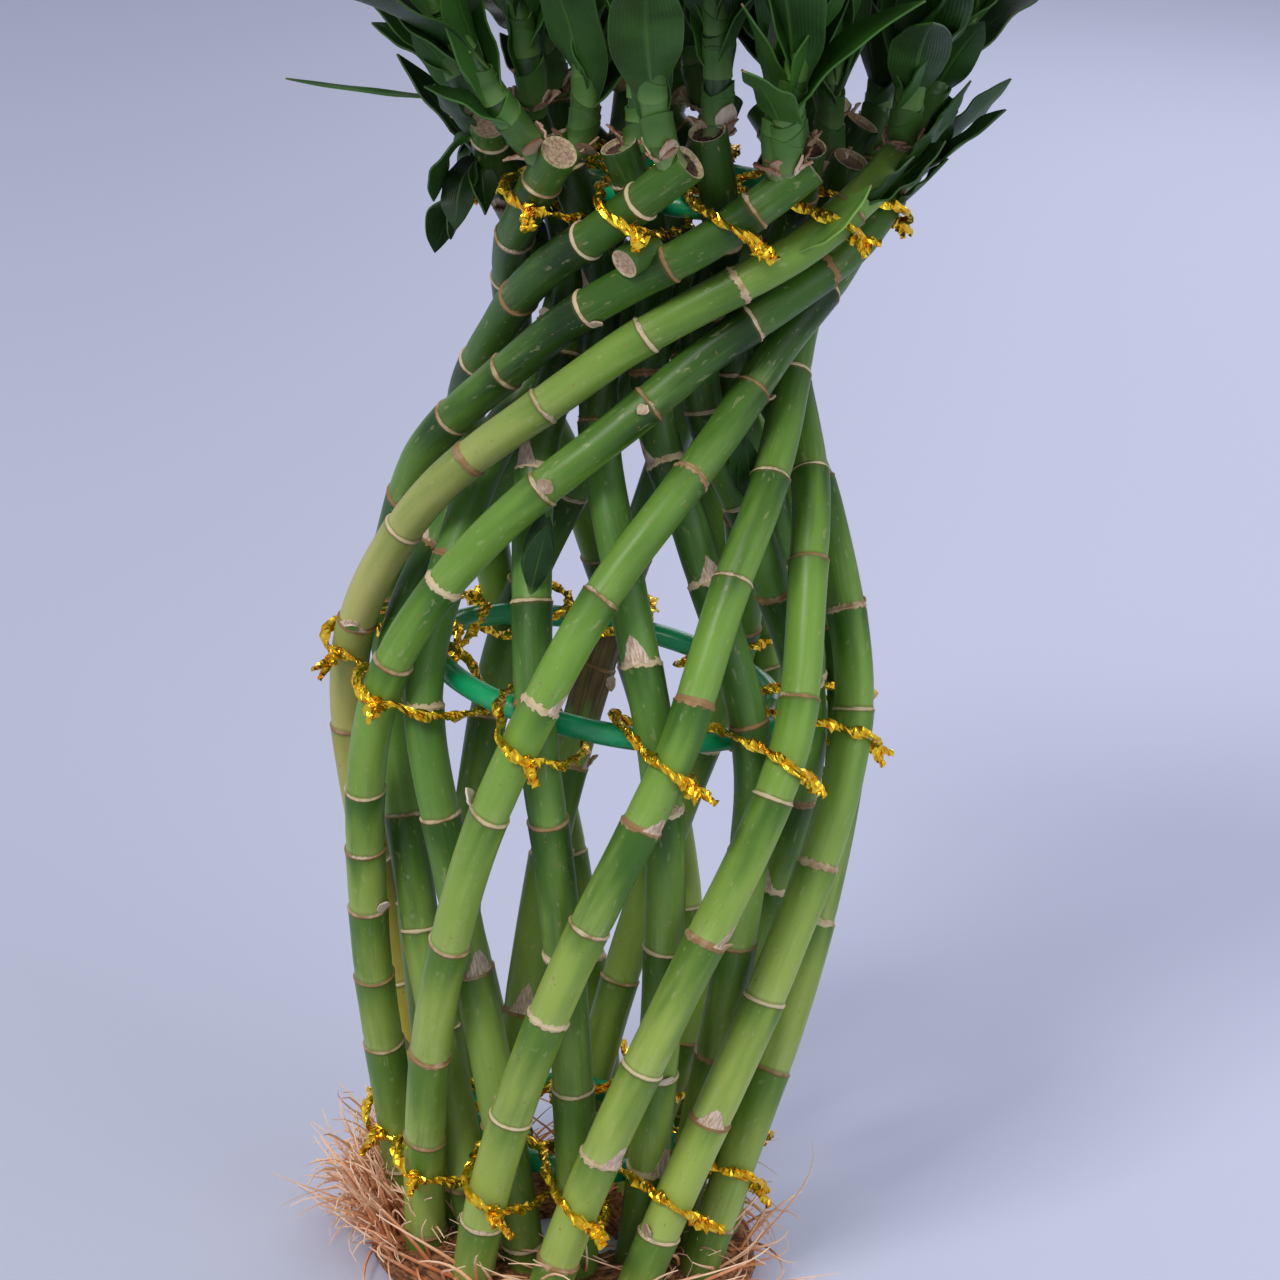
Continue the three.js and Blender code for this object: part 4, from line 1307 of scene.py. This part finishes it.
def folded_leaf(stalk, draw):
    """Small fresh leaf that stands folded on the front of the yellowish stalk, above the top ties."""
    line = stalk["line"]
    centre, _, out, _ = stalk_frame(line, line.distance_to(FOLDED_LEAF_HEIGHT) / line.length)
    root = centre + out * 3.6 + UPWARDS * 1.5
    path = Bezier(root, *(root + step for step in np.array(FOLDED_LEAF)))
    facing, faces = np.array(FOLDED_LEAF_FACING), (FRESH_LEAF, FRESH_LEAF)
    return leaf_blade("folded_leaf", path, facing, FOLDED_LEAF_HALF_WIDTH, 0.8, draw, faces)


def side_buds(stalk, draw):
    """Dark pointed leaves of a side bud, hugging an inner stalk above one of its rings."""
    line = stalk["line"]
    low, spread = SIDE_BUD["height"], SIDE_BUD["height_spread"]
    node = min(stalk["nodes"], key=lambda node: abs(line.at(node / line.length)[2] - low - spread * draw()))
    centre, side, front, tangent = stalk_frame(line, node / line.length)
    out = unit(front * 0.6 + side * draw.sway())
    root = centre + out * (stalk_radius_at(centre[2]) - 0.3) + tangent
    leaves = []
    for i in range(SIDE_BUD["leaves"]):
        size = draw.between(*SIDE_BUD["sizes"])
        lean = unit(out * draw.between(0.15, 0.5) + tangent + side * 0.35 * draw.sway())
        path = Bezier(root, root + lean * size * 0.5 + out * 1.2, root + lean * size)
        name, half = f"{stalk['name']}_bud_{i}", size * SIDE_BUD["width_share"]
        leaves.append(leaf_blade(name, path, -out, half, 0.1, draw, grid=BUD_GRID))
    return leaves


def grow_on_shoot(stalk, shoot, draw):
    """Leaves, their feet and the papery scales of one shoot, and then its stem."""
    line = shoot["line"]
    limb = Limb(line, FRONT, SHOOT_LIMB_STEPS)
    leaves = shoot["leaves"] + short_leaves(shoot, draw)
    blades = []
    for i, leaf in enumerate(leaves):
        width, reach = LEAF_HALF_WIDTH_SHARE, SHEATH_REACH
        if leaf.get("short"):
            width, reach = SHORT_LEAF_WIDTH_SHARE, SHORT_SHEATH_REACH
        half = leaf["line"].length * width
        tone = min(1, 0.7 * draw() + 0.3 * leaf["u"])
        name, turn = f"{stalk['name']}_leaf_{i}", math.radians(leaf["azimuth"])
        blades.append(leaf_blade(name, leaf["line"], line.tangent(leaf["u"]), half, tone, draw))
        blades.append(leaf_sheath(name + "_foot", limb, leaf["u"], turn, tone, reach))
    for i in range(BUD_SCALES):
        blades.append(bud_scale(f"{stalk['name']}_scale_{i}", line, 2.6 * i + 2 * draw(), SCALE_FORM, draw))
    return blades, shoot_stem(stalk["name"] + "_shoot", limb, [leaf["u"] for leaf in leaves], draw())


def foliage(stalk, draw):
    """All shoots and leaves of one stalk."""
    blades, stems = [], []
    for shoot in stalk["shoots"]:
        grown, stem = grow_on_shoot(stalk, shoot, draw)
        blades += grown
        stems.append(stem)
    if stems and stalk["layer"] == "outer":
        blades += low_leaves(stalk, draw)
    blades += [
        ring_flap(f"{stalk['name']}_flap_{i}", stalk, node, turn, draw)
        for i, (node, turn) in enumerate(stalk["scars"]) if draw() < FLAP_CHANCE
    ]
    if stalk["name"] in BUDDING_STALKS:
        blades += side_buds(stalk, draw)
    if stalk is far_left_stalk:
        blades.append(stray_leaf(stalk, draw))
    if stalk["name"] == YELLOW_STALK:
        blades.append(folded_leaf(stalk, draw))
    for shoot in stalk["shoots"]:
        for i in range(CLUMPED_SCALES):
            name, turn = f"{stalk['name']}_clump_{i}", 1.6 * i + 1.2 * draw()
            blades.append(bud_scale(name, shoot["line"], turn, CLUMP_FORM, draw))
    if not blades:
        return stems
    leafy = joined(blades, stalk["name"] + "_leaves")
    thicken(leafy, LEAF_THICKNESS * MM)
    return [leafy, *stems]


def build_stalk(stalk):
    draw = Draw(SEEDS["first_stalk"] + STALKS_PER_LAYER * (stalk["layer"] == "inner") + stalk["place"])
    if stalk["name"] == SHORT_JOINTED_STALK:
        stalk["nodes"] = with_extra_rings(stalk)
    pieces = [stalk_stem(stalk, draw)]
    extras = [extra(stalk) for name, extra in EXTRAS.items() if name == stalk["name"]]
    pieces += [*foliage(stalk, draw), *extras]
    piece = joined(pieces, stalk["name"] + "_grown")
    smooth(piece, 50)
    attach(piece, "root")
    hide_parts(stalk["name"])


EXTRAS = {WITHERED_STALK: dry_twig, STUMP_STALK: cut_stump}
SKINS = {YELLOW_STALK: YELLOW_SKIN, WITHERED_STALK: WITHERED_SKIN}
LAYER_SKINS = {"outer": OUTER_SKIN, "inner": SHADED_INNER_SKIN}
far_left_stalk = min(
    (stalk for stalk in stalks if stalk["shoots"]), key=lambda stalk: stalk["shoots"][0]["line"].at(0.3)[0],
)
for stalk in stalks:
    stalk["skin"] = SKINS.get(stalk["name"], LAYER_SKINS[stalk["layer"]])
    stalk["slot"] = "yellow_stalk" if stalk["name"] == YELLOW_STALK else stalk["layer"] + "_stalk"
    build_stalk(stalk)


# Hoops

HOOP_SEGMENTS = {"major_segments": 144, "minor_segments": 20}
# Bends of the wire: size, lobes round the hoop and phase
HOOP_SWAY = ((0.25, 3, 1), (0.18, 7, 0))


def build_hoop(hoop):
    """Plastic-coated wire bent into a ring, a little uneven as if bent by hand."""
    centre = placed(axis_at(HOOPS[hoop]["height"]))
    deselect_all()
    bpy.ops.mesh.primitive_torus_add(
        major_radius=hoop_radius(hoop) * MM, minor_radius=HOOP_WIRE_RADIUS * MM, **HOOP_SEGMENTS,
        rotation=(0, math.radians(HOOPS[hoop]["tilt"]), 0), location=centre,
    )
    piece = bpy.context.object
    piece.name = hoop + "_hoop_wire"
    bpy.ops.object.transform_apply(location=True, rotation=True, scale=True)
    corners = read_corners(piece)
    out = corners - centre
    angle = np.arctan2(out[:, 0], -out[:, 1])
    sway = sum(size * np.sin(lobes * angle + phase) for size, lobes, phase in HOOP_SWAY)
    write_corners(piece, corners + out / np.linalg.norm(out, axis=1)[:, None] * sway[:, None] * MM)
    mark(piece)
    set_materials(piece, HOOP_COAT)
    smooth(piece)
    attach(piece, "root")
    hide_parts(hoop + "_hoop")


for hoop in HOOPS:
    build_hoop(hoop)


# Foil ties

TIE_ROWS = 64
TIE_COLUMNS = 6
TIE_KINDS = 3
TIE_KIND_STEP = 7
CRUMPLE = (0.62, 1.3)
TIE_LOOP = {"width": 1.4, "thickness": 0.6, "turns": 5, "rows": TIE_ROWS}
SECOND_TURN = {"width": 0.75, "thickness": 0.4, "turns": 9, "rows": TIE_ROWS}
KNOT_LUMP = {"width": 1.75, "thickness": 1.75 * 0.7, "turns": 1.2, "rows": 5}
LOOSE_END = {"width": 1.0, "thickness": 0.7, "turns": 1.2, "rows": 8}
KNOT_LUMPS = 2
KNOT_TURN = (30, 60)
KNOT_LUMP_LENGTH = (2.2, 3.4)
LOOSE_END_LENGTH = (4, 7.5)
LOOSE_END_LEANS = ((-0.1, 0.9), (-0.3, 0.2), (-1.0, 0.5))
LOOSE_END_BENDS = (0.9, 0.6, 0.9)
SECOND_TURN_SWAY = (0.35, 0.25, 1.1)
TIE_ENDS = 4


class ClosedLine(Line):
    """A smooth closed line through a ring of points."""

    def __init__(self, points):
        self.points = np.array(points, dtype=float)
        super().__init__()

    def point(self, t):
        count = len(self.points)
        place = (t % 1.0) * count
        i = int(place) % count
        share = place - int(place)
        a, b, c, d = (self.points[(i + step) % count] for step in (-1, 0, 1, 2))
        even = (2 * a - 5 * b + 4 * c - d) * share**2
        odd = (c - a) * share + (3 * b - a - 3 * c + d) * share**3
        return 0.5 * (2 * b + even + odd)


def tie_outline(hoop):
    """Loop of a tie in its own plane: along the slope, and out from the middle of the outer stalk."""
    height = HOOPS[hoop]["height"]
    fit = TIE_FITS[hoop]
    outer, inner = layer_radius("outer", height), layer_radius("inner", height)
    wrap = (stalk_radius_at(height) + fit["slack"] + TIE_HALF_THICKNESS) / cosine(TIE_TURN / 2)
    back = hoop_radius(hoop) - HOOP_WIRE_RADIUS - CLEARANCE - TIE_HALF_THICKNESS - TIE_BACK_SLACK - outer
    front = [(wrap * sine(step * TIE_TURN), wrap * cosine(step * TIE_TURN)) for step in (-2, -1, 0, 1, 2)]
    side = (fit["pass"], inner + fit["turn_in"] - outer)
    corner = (fit["pass"] - TIE_TAPER, back)
    return [*front, side, corner, (-corner[0], corner[1]), (-side[0], side[1])]


def crumpled_strand(name, line, draw, width, thickness, turns, rows):
    """Strand of foil ribbon: a flat tube, twisted along its line and crumpled into facets."""
    piece, column, row = cloth_grid(name, TIE_COLUMNS, rows)
    turn = 2 * np.pi * column / TIE_COLUMNS
    crumple = np.array([[draw.between(*CRUMPLE) for _ in range(TIE_COLUMNS)] for _ in range(rows + 1)])
    shift = np.array([draw.sway() for _ in range(rows + 1)]) * line.length / rows * 0.3
    if isinstance(line, ClosedLine):
        crumple[-1], shift[0], shift[-1] = crumple[0], 0, 0
    bulk = crumple[row, column % TIE_COLUMNS]
    share = row / rows
    spin = 2 * np.pi * turns * share + 0.5 * np.sin(2 * np.pi * 5 * share)
    beside, ahead = rotated(width * np.cos(turn) * bulk, thickness * np.sin(turn) * bulk, spin)
    along = np.clip(share * line.length + shift[row], 0, line.length)
    write_corners(piece, Limb(line, UPWARDS).corners(along, beside, ahead) * MM)
    merge_doubles(piece, 1e-7)
    return piece


def tie_kind(hoop, kind):
    """One tie of a hoop: a loop, a thinner strand wound along it, the knot and its short twisted ends."""
    draw = Draw(SEEDS["first_tie"] + 10 * list(HOOPS).index(hoop) + kind)
    outline = np.array([(a, b, 0.0) for a, b in tie_outline(hoop)])
    strands = [crumpled_strand("tie_loop", ClosedLine(outline), draw, **TIE_LOOP)]
    sway = np.array([[width * draw.sway() for width in SECOND_TURN_SWAY] for _ in outline])
    strands.append(crumpled_strand("tie_second_turn", ClosedLine(outline + sway), draw, **SECOND_TURN))
    turn = draw.between(*KNOT_TURN)
    knot = np.linalg.norm(outline[2]) * np.array([sine(turn), cosine(turn), 0.0])
    out = unit(knot)
    for i in range(TIE_ENDS):
        lengths, form = (KNOT_LUMP_LENGTH, KNOT_LUMP) if i < KNOT_LUMPS else (LOOSE_END_LENGTH, LOOSE_END)
        lean = unit(out + np.array([draw.between(*leans) for leans in LOOSE_END_LEANS]))
        length = draw.between(*lengths)
        bent = np.array([bend * draw.sway() for bend in LOOSE_END_BENDS])
        line = Bezier(knot - out * 1.2 - lean * 0.6, knot + lean * length * 0.5 + bent, knot + lean * length)
        end = crumpled_strand("tie_end", line, draw, **form)
        close_ends(end)
        strands.append(end)
    return joined(strands, f"{hoop}_tie_kind_{kind}")


def place_tie(kind, hoop, place):
    """Copy a tie to one crossing."""
    angle = place_angle(hoop, place)
    outward = outward_at(angle)
    slope = TIE_FITS[hoop]["slope"] + HOOPS[hoop]["tilt"] * cosine(angle)
    along = sideways_at(angle) * cosine(slope)
    along[2] = -sine(slope)
    centre = axis_at(hoop_height_at(hoop, angle))
    centre = centre + outward * layer_radius("outer", centre[2])
    tie = copy_of(kind)
    local = read_corners(kind) / MM
    write_corners(tie, placed(centre + local @ np.array([along, outward, np.cross(outward, along)])))
    return tie


for hoop in HOOPS:
    kinds = [tie_kind(hoop, kind) for kind in range(TIE_KINDS)]
    places = range(STALKS_PER_LAYER)
    placed_ties = [place_tie(kinds[place * TIE_KIND_STEP % TIE_KINDS], hoop, place) for place in places]
    for kind in kinds:
        bpy.data.objects.remove(kind)
    ties = joined(placed_ties, hoop + "_foil_ties")
    edit_mesh(
        ties, (bpy.ops.mesh.normals_make_consistent, {"inside": False}), (bpy.ops.mesh.faces_shade_flat, {}),
    )
    mark(ties)
    set_materials(ties, GOLD_FOIL)
    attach(ties, "root")
    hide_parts(*[f"{hoop}_tie_{place + 1:02d}" for place in range(STALKS_PER_LAYER)])


# Roots

FINE_ROOTS = 520
BRUSH_ROOTS = 360
# Roots that stand out: angle, start, height, reach, rise, swerve and curl
CURLED_ROOTS = [
    (-104, 44, 14, 19, 24, 8, (-0.45, -13)),
    (-88, 46, 10, 16, 26, -6, (-0.5, -4)),
    (-118, 45, 8, 18, 16, 14, (-0.3, 9)),
    (62, 46, 9, 20, 12, -14, (0.1, 8)),
    (80, 45, 7, 16, 18, 10, (-0.2, 6)),
    (48, 47, 6, 18, 7, 18, (0.2, -5)),
]
CURLED_ROOT = {"radius": 0.32, "tone": 0.6}
FINE_ROOT_RADIUS = (0.25, 0.6)
BRUSH_ROOT_RADIUS = (0.28, 0.62)
RISING_CHANCE = 0.38
ROOT_START = 17
ROOT_REACH = (3, 15)
RISING_ROOT = (5, 15)
CREEPING_ROOT = (-4, 5)
ROOT_SWERVE = 26
BRUSH_ANGLE = -92
BRUSH_SPREAD = 38
BRUSH_START = 34
BRUSH_REACH = (4, 19)
BRUSH_RISE = (2, 23)
BRUSH_SWERVE = 16
ROOT_ROWS = 8
ROOT_SIDES = 4
ROOT_LIMB_STEPS = 10
ROOT_FRONT = np.array([0.3, 0.1, 1.0])
CORE_GRID = (160, 22)
# Radius and height round the section of the mat
CORE_SECTION = [
    (MAT_INNER, 0.2), (MAT_INNER + 0.5, 3), (MAT_INNER + 3, MAT_TOP), (28, MAT_CROWN),
    (MAT_OUTER - 10, MAT_CROWN), (MAT_OUTER - 3, MAT_TOP - 0.5), (MAT_OUTER, 3),
    (MAT_OUTER - 0.5, 0.2), (30, 0.0), (MAT_INNER, 0.2),
]
# Waves round the mat, beat along its section, phase and size
CORE_RIPPLES = [(5, 1.3, 1, 0.7), (13, 2.1, 2, 0.6), (29, 3.7, 0, 0.5), (47, 5.3, 4, 0.35)]


def root_core():
    """Matted ring of roots round the feet of the stalks."""
    piece, turn, row = rolled_grid("root_mat_core", *CORE_GRID)
    place = row / CORE_GRID[1] * (len(CORE_SECTION) - 1)
    radius, height = (np.interp(place, range(len(CORE_SECTION)), values) for values in zip(*CORE_SECTION))
    ragged = sum(
        np.sin(turn * waves + place * beat + phase) * size for waves, beat, phase, size in CORE_RIPPLES
    )
    lift = np.clip(height / MAT_TOP, 0, 1)
    height = np.maximum(height + ragged * lift * 0.9, 0)
    radius = radius + ragged * lift * 0.8
    return shaped(piece, stacked(radius * np.sin(turn), -radius * np.cos(turn), height), ROOT_FELT)


def plain_root():
    """A straight tapered root, to be copied and bent."""
    piece, turn, row = rolled_grid("plain_root", ROOT_SIDES, ROOT_ROWS)
    share = row / ROOT_ROWS
    taper = 1 - 0.75 * share**1.5
    write_corners(piece, stacked(np.sin(turn) * taper, np.cos(turn) * taper, share))
    merge_doubles(piece)
    close_ends(piece)
    set_materials(piece, ROOT_SKIN)
    return piece


def fine_root(kind, line, radius, tone):
    """Copy of the plain root, bent along its own line."""
    root = copy_of(kind)
    beside, ahead, share = read_corners(kind).T
    limb = Limb(line, ROOT_FRONT, ROOT_LIMB_STEPS)
    write_corners(root, placed(limb.corners(share * line.length, beside * radius, ahead * radius)))
    mark(root, blade=stacked(0, share, tone))
    return root


class RootLine(Bezier):
    steps = 40


def root_line(angle, start, height, reach, rise, swerve, curl):
    """A thin root that leaves the mat, climbs over a knee and wanders on."""
    bends = [
        (0, start, height),
        (0.3, start + reach * 0.45, height + abs(rise) * 0.55 + 2),
        (0.9, start + reach, max(height + rise, 1.5)),
        (1.6, start + reach * (1 + curl[0]), max(height + rise + curl[1], 0.7)),
    ]
    return RootLine(*(outward_at(angle + swerve * turn) * out + UPWARDS * up for turn, out, up in bends))


def wandering_root(draw):
    """A root anywhere round the mat: most creep outwards and down, a few rise between the stalks."""
    rise = RISING_ROOT if draw() < RISING_CHANCE else CREEPING_ROOT
    return root_line(
        360 * draw(), draw.between(ROOT_START, MAT_OUTER - 1), draw.between(1.5, MAT_TOP),
        draw.between(*ROOT_REACH), draw.between(*rise),
        ROOT_SWERVE * draw.sway(), (draw.between(-0.4, 0.5), 5 * draw.sway()),
    )


def brush_root(draw):
    """A root of the dense brush that stands up at the left."""
    angle = BRUSH_ANGLE + BRUSH_SPREAD * (draw() + draw() - 1)
    height = draw() ** 0.8
    return root_line(
        angle, draw.between(BRUSH_START, MAT_OUTER - 1), draw.between(1.5, MAT_TOP),
        draw.between(*BRUSH_REACH) * (1.15 - 0.4 * height), lerp(*BRUSH_RISE, height),
        BRUSH_SWERVE * draw.sway(), (draw.between(-0.25, 0.45), draw.between(-5, 4)),
    )


def build_roots():
    draw = Draw(SEEDS["roots"])
    kind = plain_root()
    pieces = [root_core()]
    kinds = ((FINE_ROOTS, wandering_root, FINE_ROOT_RADIUS), (BRUSH_ROOTS, brush_root, BRUSH_ROOT_RADIUS))
    for count, bent_root, radii in kinds:
        for _ in range(count):
            pieces.append(fine_root(kind, bent_root(draw), draw.between(*radii), draw()))
    for curled in CURLED_ROOTS:
        pieces.append(fine_root(kind, root_line(*curled), **CURLED_ROOT))
    bpy.data.objects.remove(kind)
    roots = joined(pieces, "root_mass")
    smooth(roots)
    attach(roots, "root")
    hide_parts("root_mat")


build_roots()


# Floor, lights and camera

FLOOR_SIZE = 14
FLOOR_DROP = 0.0002
LIT_POINT = (0, 0, 0.12)
# Place, size, watts and tint
LIGHTS = {
    "window_light": ((-1.36, -2.08, 2.32), 0.9, 56, (1, 0.985, 0.96)),
    "room_fill": ((1.9, -1.6, 1.0), 1.6, 14, (0.94, 0.96, 1)),
    "back_light": ((0.6, 2.0, 1.6), 1.4, 12, (0.94, 0.96, 1)),
}
WORLD_COLOUR = "dfe2f2"
WORLD_STRENGTH = 0.7
CAMERA_TARGET = (4.6, 0, 155.2)
CAMERA_DISTANCE = 783
CAMERA_ELEVATION = 17.5
CAMERA_ROLL = 5.5
CAMERA_LENS = 96.2
CAMERA_SENSOR = 36
CAMERA_REACH = (0.02, 60)


def build_floor():
    finish = Finish("pale_floor", roughness=0.9)
    beside, beyond, _ = finish.place().parts()
    # Painted light: the floor darkens into the distance and on the left, and is paler on the right, as the
    # room light falls.
    left = finish.mix(beyond.rising(0, 2200), "bbbed0", "a9acbe")
    fan = beside.maths("DIVIDE", (beyond + 780).most(400))
    deselect_all()
    bpy.ops.mesh.primitive_grid_add(
        x_subdivisions=4, y_subdivisions=4, size=FLOOR_SIZE, location=(0, 0, -FLOOR_DROP),
    )
    floor = bpy.context.object
    floor.name = "pale_floor"
    bpy.ops.object.transform_apply(location=True)
    set_materials(floor, finish.paint(base=finish.mix(fan.rising(-0.2, 0.2), left, "c9cce1")))


def add_light(name, spot, size, watts, tint):
    deselect_all()
    bpy.ops.object.light_add(type="AREA", location=spot)
    light = bpy.context.object
    light.name = name
    light.data.size = size
    light.data.energy = watts
    light.data.color = tint
    light.rotation_euler = (Vector(LIT_POINT) - Vector(spot)).to_track_quat("-Z", "Y").to_euler()


def add_camera():
    back = Vector((0, -cosine(CAMERA_ELEVATION), sine(CAMERA_ELEVATION)))
    deselect_all()
    bpy.ops.object.camera_add(location=Vector(placed(CAMERA_TARGET)) + back * CAMERA_DISTANCE * MM)
    camera = bpy.context.object
    roll = Matrix.Rotation(math.radians(CAMERA_ROLL), 3, "Z")
    camera.rotation_euler = (back.to_track_quat("Z", "Y").to_matrix() @ roll).to_euler()
    camera.data.lens = CAMERA_LENS
    camera.data.sensor_width = CAMERA_SENSOR
    camera.data.clip_start, camera.data.clip_end = CAMERA_REACH
    bpy.context.scene.camera = camera


def build_world():
    world = bpy.data.worlds.new("soft_room")
    bpy.context.scene.world = world
    world.use_nodes = True
    backdrop = world.node_tree.nodes["Background"]
    backdrop.inputs["Color"].default_value = colour(WORLD_COLOUR)
    backdrop.inputs["Strength"].default_value = WORLD_STRENGTH


build_floor()
build_world()
for name, settings in LIGHTS.items():
    add_light(name, *settings)
add_camera()
bpy.context.scene.view_settings.view_transform = "Standard"
